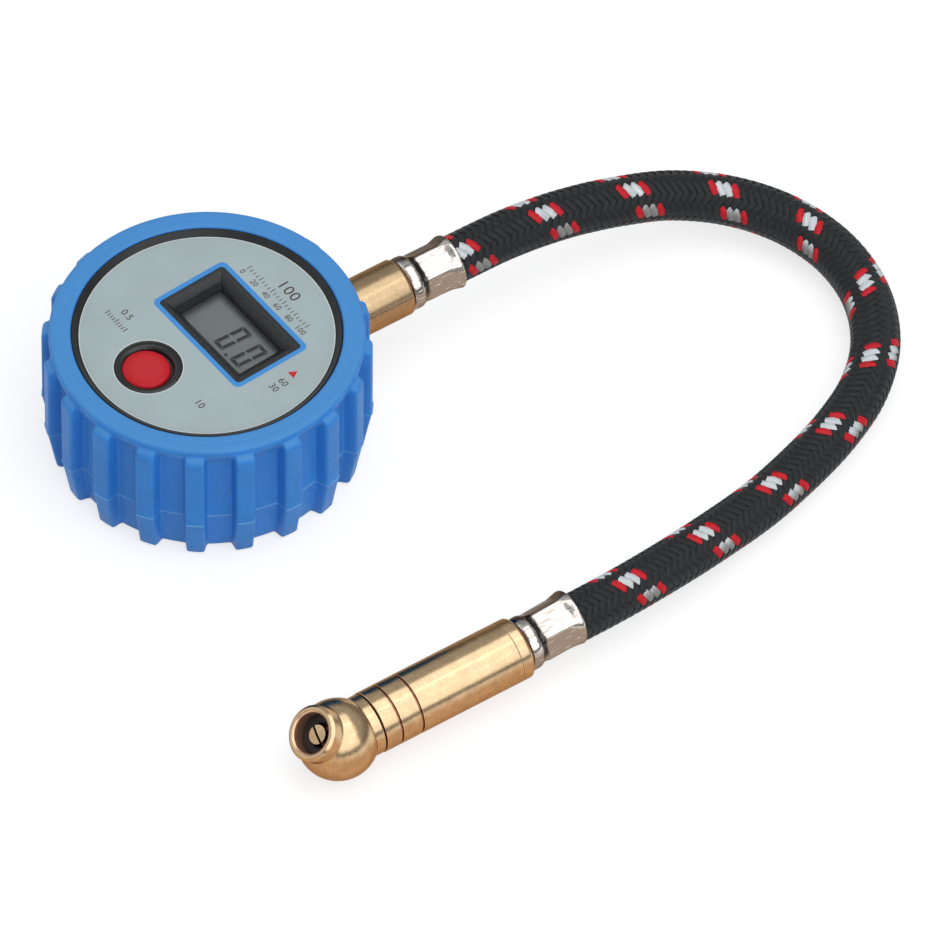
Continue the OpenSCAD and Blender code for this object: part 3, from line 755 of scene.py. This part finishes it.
line = hose_line()
length = sum(math.dist(a, b) for a, b in zip(line, line[1:]))
line_mesh = bpy.data.meshes.new("hose_line")
line_mesh.from_pydata([tuple(c * MM for c in p) for p in line],
                      [(i, i + 1) for i in range(len(line) - 1)], [])
braid_sizes = dict(
    length=length * MM, stations=int(length / YARN_STATION), yarns=YARNS, pitch=YARN_PITCH * MM,
    radius=HOSE_R * MM, squeezed=SQUEEZED_R * MM, ferrule=14.6 * MM, rise=2.2 * MM,
    float_height=0.14 * MM, float_bias=-0.03 * MM, yarn_phase=math.radians(249.9),
    float_phase=math.radians(-0.5), twist=math.radians(BRAID_TWIST) / MM, skew=YARN_SKEW / MM,
    yarn_width=2.15 * MM, yarn_thickness=0.28 * MM)
hose = grown("hose_braid", line_mesh, braid_tree(braid_sizes, braid_yarn()), braid_sizes)
hose.data.shade_smooth()
core = hose_core(line, moulded("hose_rubber", linear(28, 29, 31), 0.6))

# ---- rubber boot ----

RIB_PLACES = 20
RIB_TURN = math.radians(-1.4)
RIB_AT_R = 38.0  # where the ribs' widths are measured
# stations up the side: radius and height on the wall, then on a rib, and how much of the rib's side is
# drawn in there, so that its foot and top have rounded corners
BOOT_SIDE = [
    (34.0, 0, 35.6, 0.08, 0.2), (34.6, 0.1, 37.0, 0.1, 0.14), (35.05, 0.45, 37.6, 0.3, 0.08),
    (35.25, 1.2, 37.98, 0.9, 0.03), (35.85, 6.5, 38.9, 6.5, 0), (36.48, 11.9, 39.86, 11.9, 0),
    (36.56, 12.5, 39.96, 12.5, 0), (36.6, 12.7, 40.0, 12.7, 0), (36.8, 12.9, 40.2, 12.9, 0),
    (36.6, 13.1, 40.0, 13.1, 0), (36.56, 13.3, 39.98, 13.3, 0), (36.5, 20, 39.98, 20, 0),
    (36.42, 27, 39.98, 27, 0), (36.4, 31.6, 39.97, 32.8, 0), (36.42, 32.7, 39.97, 34.6, 0),
    (36.6, 33.5, 39.88, 35.2, 0), (36.95, 34.2, 39.64, 35.75, 0.01), (37.4, 34.85, 39.3, 36.12, 0.03),
    (37.82, 35.5, 38.85, 36.4, 0.07), (38.1, 36.2, 38.5, 36.62, 0.12), (38.2, 36.9, 38.2, 37.0, 0.16)]
BOOT_FOOT = [(25, 0.7), (25.2, 0.2), (25.7, 0), (30, 0)]
BOOT_TOP = [
    *arc((37.2, 37.5), 1.0, 0, 84, 7), (36.4, 38.5), (35.75, 38.5), (35.5, 38.48), (35.3, 38.46),
    (35.1, 38.48), (34.85, 38.5), (34.2, 38.5), *arc((33.5, 37.8), 0.7, 90, 180, 5), (32.8, 36.05),
    (34.08, 36.05), (34.08, 2.5), (25, 2.5)]
# how far the surface has risen from wall to rib, at distances from the rib's middle
RIB_RISE = [(4.6, 0), (3.6, 0), (3.2, 0.01), (3.0, 0.04), (2.86, 0.1), (2.74, 0.2), (2.62, 0.36),
            (2.52, 0.52), (2.42, 0.68), (2.32, 0.81), (2.2, 0.905), (2.05, 0.96), (1.85, 0.988),
            (1.55, 0.998), (1.0, 1), (0.4, 1)]


def boot_sectors():
    """A plain sector of the boot and one with a rib, in one mesh and told apart by an attribute."""
    half = [(math.pi / RIB_PLACES, 0)] + [(across / RIB_AT_R, rise) for across, rise in RIB_RISE]
    columns = [(-angle, rise) for angle, rise in half] + half[::-1]
    foot, top = ([(r, z, r, z, 0) for r, z in outline] for outline in (BOOT_FOOT, BOOT_TOP))
    stations = foot + BOOT_SIDE + top
    points, faces, ribbed = [], [], []
    for with_rib in (0, 1):
        rings = []
        for angle, rise in columns:
            rise *= with_rib
            column = []
            for wall_r, wall_z, rib_r, rib_z, drawn_in in stations:
                turn = angle * (1 - rise * drawn_in)
                r, z = wall_r + (rib_r - wall_r) * rise, wall_z + (rib_z - wall_z) * rise
                column.append((r * math.cos(turn) * MM, r * math.sin(turn) * MM, z * MM))
            rings.append(add_ring(points, column))
        sector = bands(rings[::-1], False)
        faces += sector
        ribbed += [with_rib] * len(sector)
    mesh = bpy.data.meshes.new("boot_sectors")
    mesh.from_pydata(points, [], faces)
    mesh.attributes.new("ribbed", "INT", "FACE").data.foreach_set("value", ribbed)
    return mesh


def boot_tree(sizes, material):
    """Sets the ribbed sector at every place round the head but one, where the plain one goes."""
    tree, size, go = geometry_tree("boot_ring", sizes)
    mark = go("GeometryNodeInputNamedAttribute", {"Name": "ribbed"}, data_type="INT")
    split = add_node(tree, "GeometryNodeSeparateGeometry", {
        "Geometry": size["Geometry"], "Selection": mark}, domain="FACE")
    gathered = add_node(tree, "GeometryNodeJoinGeometry")
    places = go("GeometryNodePoints", {"Count": size["places"]})
    index = go("GeometryNodeInputIndex")
    plain = index.math("SUBTRACT", size["plain_place"]).math("ABSOLUTE").math("LESS_THAN", 0.5)
    turn = go("ShaderNodeCombineXYZ", {2: index * (2 * math.pi) / size["places"] + size["turn"]})
    for sector, chosen in zip(split.outputs, (plain.math("LESS_THAN", 0.5), plain)):
        placed = go("GeometryNodeInstanceOnPoints", {
            "Points": places, "Selection": chosen, "Instance": Wire(tree, sector), "Rotation": turn})
        tree.links.new(placed.socket, gathered.inputs[0])
    real = go("GeometryNodeRealizeInstances", {"Geometry": Wire(tree, gathered.outputs[0])})
    merged = go("GeometryNodeMergeByDistance", {"Geometry": real, "Distance": 0.01 * MM})
    return close_tree(tree, merged, material)


rubber = boot_rubber()
boot_sizes = dict(places=RIB_PLACES, plain_place=0, turn=math.pi / 2 + RIB_TURN)
boot = cleaned(grown("boot_rubber", boot_sectors(), boot_tree(boot_sizes, rubber), boot_sizes))
stem_hole = lathed("stem_hole", [
    (0, 30), (8.9, 30), (8.9, 34.6), (7.45, 34.6), (7.45, 45), (0, 45)], STEM, rubber, 64)
boot = carved(boot, "DIFFERENCE", stem_hole, sharp=40)
dress(boot, "gauge", "boot_rubber", "boot")

# ---- brass stem and chuck ----

BARB_RINGS = [(2.65, 0), (2.65, 2.5), (2.95, 2.6), (2.55, 6), (2.95, 6.1), (2.55, 9.5), (2.95, 9.6),
              (2.25, 13), (1.4, 13)]
TAIL_BUTT = BUTT_Y - BALL_Y
THREAD_END = 48.3  # the barrel's end at the tail, from the ball's middle


def barb(butt):
    """Hose barb beyond a butt face, out to its bored end."""
    return [(radius, butt + out) for radius, out in BARB_RINGS]


stem_brass = turned_brass("brass_stem", 0.24, (0, 0, STEM_Z), LYING, 0.4, 0.76).material
chuck_brass = turned_brass("brass_chuck", 0.2, BALL_AT, LYING, 0.35, grooves=BARREL_R - 0.18).material
ball_brass = ball_brass_finish()

stem = lathed("stem", [
    (1.4, 30), (2.6, 30), (2.6, 24.5), (4.9, 24.5), (4.9, 34.3), (7.0, 34.3), (7.3, 34.6),
    (7.3, STEM_END, 0.8), *barb(STEM_END)], STEM, stem_brass)
dress(stem, "gauge", "brass", "inlet_stem")

barrel = lathed("barrel_body", [
    (4.85, 9.2), (BARREL_R, 9.2, 0.22), (BARREL_R, 13.3, 0.12), (GROOVE_R, 13.42), (GROOVE_R, 13.78),
    (BARREL_R, 13.9, 0.12), (BARREL_R, 19.2, 0.12), (GROOVE_R, 19.32), (GROOVE_R, 19.68),
    (BARREL_R, 19.8, 0.12), (BARREL_R, THREAD_END, 0.16), (6.2, THREAD_END), (6.2, 21.6), (4.85, 21.6)],
    CHUCK, chuck_brass, 128)
dress(barrel, "gauge", "brass", "chuck_barrel")

tail = lathed("tail_body", [
    (1.4, 38.3), (6.16, 38.3), (6.16, THREAD_END), (BARREL_R, THREAD_END, 0.14),
    (BARREL_R, TAIL_BUTT, 0.9), *barb(TAIL_BUTT)], CHUCK, chuck_brass, 128)
dress(tail, "gauge", "brass", "chuck_tail")

ball = lathed("chuck_ball", [
    *arc((0, 0), BALL_R, -90, 42, 44), (6.95, 7.2, 0.12), (6.85, 8.2), (6.85, 10.35, 0.1),
    (6.2, 11, 0.15), (5.5, 11, 0.15), (5.1, 10.6), (5.05, 8.6), (5.25, 8.6), (5.25, 3.6), (0, 3.6)],
    SOCKET, ball_brass, 128)
neck = lathed("chuck_neck", [
    (0, 2), (7.4, 2), (7.7, 6.0), (7.7, 9, 0.4), (4.8, 9), (4.8, 15.0), (3.66, 15.0), (3.66, 16.4),
    (4.8, 16.4), (4.8, 21.85), (4, 21.85), (4, 22.7), (4.8, 22.7), (4.8, 24.7, 0.4), (0, 24.7)],
    CHUCK, ball_brass)
ball = carved(ball, "UNION", neck)
dress(ball, "swivel_head", "brass", "chuck_head")

# ---- crimped ferrules ----

FLATS = 6
CRIMP_BLEND = 0.16  # softness of the flats' edges
CRIMP_FROM = (5.9, 1.2)  # the dies press nothing nearer the axis or the butt face than this
SHOULDER_H = 4.7  # the flats fade out below this height
FLARE_H = 4.4  # and this near to the mouth
DRAWN_TO = math.radians(-145)  # the side that the mouth is drawn towards
LIP_R = 7.1
SHOULDER = [(5.3, 0.0), (5.95, 0.1), (6.4, 0.35), (6.7, 0.7), (6.82, 1.1), (6.88, 1.6), (6.9, 2.1),
            (6.87, 2.6), (6.76, 3.05), (6.56, 3.4), (6.42, 3.7), (6.38, 4.0), (6.42, 4.4)]
# radius, and how far below the mouth
LIP = [(7.16, 0.75), (7.14, 0.5), (7.04, 0.22), (6.88, 0.04), (6.68, 0), (6.46, 0.05), (6.28, 0.3),
       (5.8, 1.6), (5.46, 2.8)]
SLEEVE_BORE = [(5.46, 0.8), (3.1, 0.8), (3.1, 0.02)]


def crimped(turn, flat_r, mouth, lean):
    """Radius of a crimped sleeve: die flats pressed into its waist, and a mouth drawn to one side."""
    half = math.pi / FLATS

    def radius_at(radius, height, angle):
        if radius < CRIMP_FROM[0] or height < CRIMP_FROM[1]:
            return radius
        off = (angle - turn + half) % (2 * half) - half
        side = math.cos(angle - DRAWN_TO)
        shoulder = max(0.0, SHOULDER_H - height) ** 1.6 * 0.75
        flare = max(0.0, FLARE_H - 1.2 * side - mouth + height) ** 1.5 * (0.16 + 0.08 * side)
        flat = (flat_r + shoulder + flare) / math.cos(off)
        pressed = -math.log(math.exp(-radius / CRIMP_BLEND) + math.exp(-flat / CRIMP_BLEND))
        return pressed * CRIMP_BLEND + lean * min(1.0, height / (mouth - 2)) * side
    return radius_at


def ferrule(name, at, node, mouth, turn, flat_r, waist_r, lean):
    """Ferrule from its butt face at the stem or chuck to its flared mouth on the hose."""
    waist = [(waist_r, 4.9 + (mouth - 8.1) * k / 16) for k in range(17)]
    flare = [(waist_r + (LIP_R - waist_r) * k / 6, mouth - 3.2 + 0.36 * k) for k in range(1, 7)]
    lip = [(radius, mouth - below) for radius, below in LIP]
    obj = lathed(name, SHOULDER + waist + flare + lip + SLEEVE_BORE, frame_at(at, LYING),
                 chrome_plate("chrome_" + name, at), 216, 46, crimped(turn, flat_r, mouth, lean))
    return dress(obj, "gauge", "chrome", node)


ferrule("head_ferrule", (0, STEM_END, STEM_Z), "gauge_ferrule", 14.8, math.radians(-10), 5.85, 6.6, -0.1)
chuck_sleeve = ferrule("chuck_ferrule_sleeve", (CHUCK_X, BUTT_Y, BALL_R), "chuck_ferrule", 15.7,
                       math.radians(-16), 6.05, 6.95, 0.65)

dress(hose, "gauge", "braid", "hose")
dress(core, "gauge", "braid")

# ---- face, window and button ----

WINDOW_SIZE = (32, 19.3)
CORNER_STEPS = 6


def refinish(material, *meshes):
    for mesh in meshes:
        mesh.materials.clear()
        mesh.materials.append(material)


def finish_nodes(material, *nodes):
    refinish(material, *(bpy.data.objects[node].data for node in nodes))


def smoothed(node, material):
    """A smooth copy of a solid that stands for it, in the given finish."""
    mesh = bpy.data.objects[node].data.copy()
    mesh.name = node + "_shell"
    refinish(material, mesh)
    return cleaned(set_down(mesh.name, mesh), 30, recalculate=False)


def frame_ring(name, section, at, material):
    """A rounded rectangular frame from section points (inset from the window, corner radius, height)."""
    points, rings = [], []
    for inset, corner, z in section:
        x, y = (size / 2 - inset - corner for size in WINDOW_SIZE)
        outline = [spot for side, middle in enumerate(((x, y), (-x, y), (-x, -y), (x, -y)))
                   for spot in arc(middle, corner, 90 * side, 90 * side + 90, CORNER_STEPS)]
        rings.append(add_ring(points, [at @ Vector((*spot, z)) for spot in outline]))
    return solid(name, points, bands(rings, True), material, 25)


dress(smoothed("front_housing", bezel_plastic()), "gauge", "black_plastic", "front_housing")

trim = frame_ring("window_trim", [
    (0.03, 1.0, 36.5), (0.03, 1.0, 36.84), (0.12, 0.95, 36.9), (1.2, 0.45, 36.9), (1.36, 0.4, 36.82),
    (3.1, 0.3, 34.7), (3.42, 0.25, 33.86), (3.3, 0.25, 33.82), (1.0, 0.3, 35.6)],
    face_frame(WINDOW), trim_plastic())
dress(trim, "gauge", "black_plastic")

finish_nodes(label_film(), "face_label")
finish_nodes(clear_window(), "lcd_lens")
finish_nodes(display_glass(), "lcd_panel")

collar = lathed("button_collar", [
    (6.02, 33.9), (6.02, 35.6), (6.2, 36.2), (6.55, 36.62), (7.0, 36.82), (7.45, 36.84), (7.85, 36.74),
    (8.12, 36.5), (8.27, 36.2), (8.3, 35.8), (8.3, 33.9)],
    face_frame(DISH_AT), moulded("collar_black", linear(26, 27, 28), 0.26, 1.4, 0.012), 128, 50)
dress(collar, "gauge", "black_plastic")

cap = lathed("button_dome", [
    (0, 33.3), (4.6, 33.3), (4.6, 33.5), (7.0, 33.5, 0.15), (7.0, 34.25, 0.15), (5.94, 34.3),
    (5.94, 35.75), (5.88, 36.05), (5.74, 36.3), (5.5, 36.5), (5.1, 36.66), (4.5, 36.76), (3.4, 36.84),
    (1.8, 36.88), (0, 36.89)], face_frame(CAP_AT), cap_red(), 112, 60)
dress(cap, "button", "red_plastic", "button_cap")

# ---- prints on the face ----

NUMBER_H = 0.7  # height of a number for each unit of its font size
SCALE_X = 0.7  # the reading scale's middle
SCALE_Y = 20.7
SCALE_STEP = 1.16
# text, place on the face, height and how much it is widened
NUMBERS = [("100", 0.7, 24.0, 2.9, 1.1), ("0.5", -16.6, -11.7, 1.9), ("10", 16.3, -14.4, 1.9),
           ("60", 22.9, 5.7, 1.8), ("30", 22.9, 2.9, 1.8)]
NUMBERS += [(str(20 * k), SCALE_X + SCALE_STEP * 4 * (k - 2.5), SCALE_Y - 1.9, 1.5) for k in range(6)]


def plates(name, outlines, low, high, material, at=FACE):
    """Flat prints, segments or cutters: each outline lies flat in frame at, from low to high."""
    points, faces = [], []
    for outline in outlines:
        rings = [add_ring(points, [at @ Vector((*spot, z)) for spot in outline]) for z in (low, high)]
        faces += [rings[1], rings[0][::-1], *bands(rings, False)]
    return solid(name, points, faces, material, 30)


def lettering(text, x, y, height, spread=1.0):
    """A printed number, centred at a face point, as a mesh object."""
    curve = bpy.data.curves.new("number", "FONT")
    curve.body, curve.align_x, curve.align_y = text, "CENTER", "CENTER"
    curve.size, curve.extrude, curve.resolution_u = height / NUMBER_H, PRINT_T / 2, 3
    curve.space_character = 1.05
    obj = set_down("number_" + text, curve)
    flat = settled(obj, "number_mesh")
    bpy.data.objects.remove(obj)
    place = Matrix.Translation((0, 0, LABEL_Z + PRINT_T / 2)) @ Matrix.Diagonal((spread, 1, 1, 1))
    flat.data.transform(Matrix.Scale(MM, 4) @ face_frame((x, y)) @ place)
    return flat


def joined(name, objects, material):
    """One object from several flat prints, in one ink."""
    work = bmesh.new()
    for obj in objects:
        work.from_mesh(obj.data)
        bpy.data.objects.remove(obj)
    bmesh.ops.remove_doubles(work, verts=work.verts, dist=SAME_SPOT)
    bmesh.ops.recalc_face_normals(work, faces=work.faces)
    mesh = bpy.data.meshes.new(name)
    work.to_mesh(mesh)
    work.free()
    mesh.materials.append(material)
    return set_down(name, mesh)


def tick_row(x, y, step, count, width, short, long):
    """A row of ticks that stand on one line. Each fourth one is long."""
    return [bar(x + step * k, y, width, short) if k % 4 else
            bar(x + step * k, y + (long - short) / 2, width, long) for k in range(count)]


def bar(x, y, width, height):
    return [(x + sx * width / 2, y + sy * height / 2) for sx, sy in ((-1, -1), (1, -1), (1, 1), (-1, 1))]


ink = inked("print_ink", linear(74, 60, 58))
ticks = tick_row(SCALE_X - SCALE_STEP * 10, SCALE_Y, SCALE_STEP, 21, 0.2, 1.0, 1.5)
ticks += tick_row(-20.2, -15.0, 0.9, 9, 0.22, 1.2, 1.6)
prints = [plates("ticks", ticks, LABEL_Z, LABEL_Z + PRINT_T, ink)]
prints += [lettering(*number) for number in NUMBERS]
dress(joined("face_print", prints, ink), "gauge", "label_film")
power_mark = plates("power_mark", [[(21.0, 8.5), (23.4, 8.5), (22.2, 10.5)]],
                    LABEL_Z, LABEL_Z + PRINT_T, inked("red_ink", linear(190, 30, 44)))
dress(power_mark, "gauge", "label_film")

# ---- display ----

SEGMENT_W = 0.98
SEGMENT_GAP = 0.12
DIGIT_SLANT = 0.08
DIGIT_W = 3.5
# left side, foot and top of each nought, and the point between them
DIGITS = [(-0.5, 2.1, 10.9), (6.2, 1.9, 10.7)]
POINT_AT = (4.75, 2.05)
POINT_R = 0.42


def digit(left, low, high):
    """The six lit segments of a nought, slanted, with mitred gaps between them."""
    w, gap = SEGMENT_W, SEGMENT_GAP
    right, middle = left + DIGIT_W, (low + high) / 2
    shapes = []
    for y, up in ((high, -1), (low, 1)):
        shapes.append([(left + gap, y), (right - gap, y), (right - w - gap, y + up * w),
                       (left + w + gap, y + up * w)])
    for x, inward in ((left, 1), (right, -1)):
        for near, up in ((high, -1), (low, 1)):
            tip, inner = x + inward * w * 0.45, x + inward * w
            shapes.append([(x, near + up * gap), (x, middle - up * gap * 2), (tip, middle - up * gap),
                           (inner, middle - up * (gap + 0.45)), (inner, near + up * (w + gap))])
    return [[(x + DIGIT_SLANT * (y - low), y) for x, y in shape] for shape in shapes]


def lit_segments(shift):
    shapes = [shape for place in DIGITS for shape in digit(*place)]
    shapes.append(arc(POINT_AT, POINT_R, 0, 337.5, 15))
    return [[(x + shift[0], y + shift[1]) for x, y in shape] for shape in shapes]


for name, shift, low, high, ink_name, tone in (
        ("digit_shadows", (0.45, -0.1), 0, 0.008, "digit_shade", (94, 101, 101)),
        ("digits", (0, 0), 0.01, 0.03, "digit_black", (28, 31, 31))):
    dress(plates(name, lit_segments(shift), LCD_Z + low, LCD_Z + high, inked(ink_name, linear(*tone))),
          "gauge", "display_glass")

# ---- seal and depressor in the socket ----

SLOT_TURN = math.radians(163)
SLOT_SIZE = (6.0, 0.62)
SLOT_DEPTH = 0.9
DISC_TOP = 8.5

seal = lathed("mouth_seal", [
    (2.7, 4.85), (5.2, 4.85), (5.2, 7.25, 0.15), (3.6, 7.3, 0.2), (2.95, 7.0, 0.25), (2.7, 6.4, 0.1)],
    SOCKET, moulded("seal_black", linear(27, 28, 29), 0.55, 2.5, 0.015))
dress(seal, "swivel_head", "seal_rubber", "valve_seal")

slotted_brass = disc_brass()
disc = lathed("depressor_disc", [
    (0, 3.62), (5.15, 3.62), (5.15, 4.78), (1.5, 4.78), (1.4, 5.2), (1.4, 7.2), (2.3, 7.2, 0.1),
    (2.42, 7.35), (2.42, 8.35, 0.12), (0, DISC_TOP)], SOCKET, slotted_brass)
slot = plates("slot", [bar(0, 0, *SLOT_SIZE)], -SLOT_DEPTH, SLOT_DEPTH, slotted_brass,
              SOCKET @ Matrix.Translation((0, 0, DISC_TOP)) @ Matrix.Rotation(SLOT_TURN, 4, "Z"))
dress(carved(disc, "DIFFERENCE", slot), "swivel_head", "brass", "depressor")

# ---- finishes of the inner pieces ----

# name, colour, roughness, grain and its depth, then the nodes
for name, colour, roughness, grain, depth, *nodes in (
        ("cover_black", (36, 37, 39), 0.5, 2.2, 0.02, "rear_cover"),
        ("oring_rubber", (24, 24, 25), 0.6, 3.0, 0.01,
         "housing_seal", "stem_oring", "sensor_oring", "swivel_oring"),
        ("chip_black", (34, 34, 36), 0.5, 4.0, 0.01, "controller_chip"),
        ("zebra_grey", (58, 58, 60), 0.6, 5.0, 0.01, "zebra_strips"),
        ("holder_ivory", (206, 198, 176), 0.45, 2.0, 0.01,
         "battery_holder", "switch_base", "switch_plunger")):
    finish_nodes(moulded(name, linear(*colour), roughness, grain, depth), *nodes)
# name, colour and roughness, then the nodes
for name, colour, roughness, *nodes in (
        ("screw_steel", (0.5, 0.5, 0.5), 0.3, "cover_screws", "pcb_screws", "swivel_clip"),
        ("cell_steel", (0.62, 0.62, 0.6), 0.22, "coin_cell"),
        ("sensor_steel", (0.56, 0.56, 0.55), 0.3, "pressure_sensor"),
        ("pin_gold", (0.78, 0.56, 0.22), 0.28, "sensor_pins"),
        ("nut_brass", (0.52, 0.34, 0.16), 0.34, "stem_nut")):
    finish_nodes(moulded(name, (*colour, 1.0), roughness, 3.0, 0.004, 0.06, Metallic=1.0), *nodes)
finish_nodes(board_green(), "pcb")

# ---- floor and light, in metres ----

FLOOR_REACH = 8
FLOOR_DROP = 0.0002
FLOOR_GLOW = 0.68
ARC_CENTRE = Vector((0.05, 0.04, 0.02))
ARC_R = 1.6
PANEL_WIDTH = 0.98
PANEL_RADIANCE = 1.28


def paper_floor():
    """Pale matt paper that looks white to the camera, in mirrors and through glass."""
    f = Finish("floor_paper", (0.42, 0.42, 0.418, 1.0), 0.9, Specular_IOR_Level=0.1)
    rays = add_node(f.tree, "ShaderNodeLightPath").outputs
    camera_ray, glossy, through = (
        Wire(f.tree, rays[kind]) for kind in ("Is Camera Ray", "Is Glossy Ray", "Is Transmission Ray"))
    seen = camera_ray.math("MAXIMUM", glossy).math("MAXIMUM", through)
    return f.drive(Emission_Color=(1, 1, 1, 1), Emission_Strength=seen * FLOOR_GLOW).material


def softbox(name, elevation, shift, length):
    """A glowing panel on the arc over the head, at an elevation in degrees from the chuck's side."""
    turn = math.radians(elevation)
    outward = Vector((math.cos(turn), shift, math.sin(turn))).normalized()
    along = Vector((-math.sin(turn), 0, math.cos(turn)))
    data = bpy.data.lights.new(name, "AREA")
    data.shape, data.size, data.size_y = "RECTANGLE", PANEL_WIDTH, length
    data.energy = PANEL_RADIANCE * math.pi * PANEL_WIDTH * length
    place = Matrix((along, outward.cross(along), outward)).transposed().to_4x4()
    place.translation = ARC_CENTRE + outward * ARC_R
    set_down(name, data).matrix_world = place


floor_mesh = bpy.data.meshes.new("floor")
floor_mesh.from_pydata([(*spot, 0) for spot in bar(0, 0, 2 * FLOOR_REACH, 2 * FLOOR_REACH)], [],
                       [(0, 1, 2, 3)])
floor_mesh.materials.append(paper_floor())
floor = set_down("floor", floor_mesh)
floor.location.z = -FLOOR_DROP

world = bpy.data.worlds.new("studio")
scene.world = world
world.use_nodes = True
sky = world.node_tree
look = wire(sky, "ShaderNodeTexCoord", output="Generated")
left = look.vector("DOT_PRODUCT", (-0.82, -0.57, 0.0), output="Value")
backdrop = sky.nodes["Background"]
feed(sky, backdrop.inputs["Strength"],
     look.axes()[2].eased(0.2, 0.5, 0.24, 0.46) + left.eased(0.35, 0.85, 0.0, 0.45))
backdrop.inputs["Color"].default_value = (0.97, 0.985, 1.0, 1.0)

for panel in (("panel_low", 30.5, -0.08, 2.4), ("panel_middle", 63.5, 0.17, 1.55),
              ("panel_high", 95.0, 0.17, 1.55)):
    softbox(*panel)
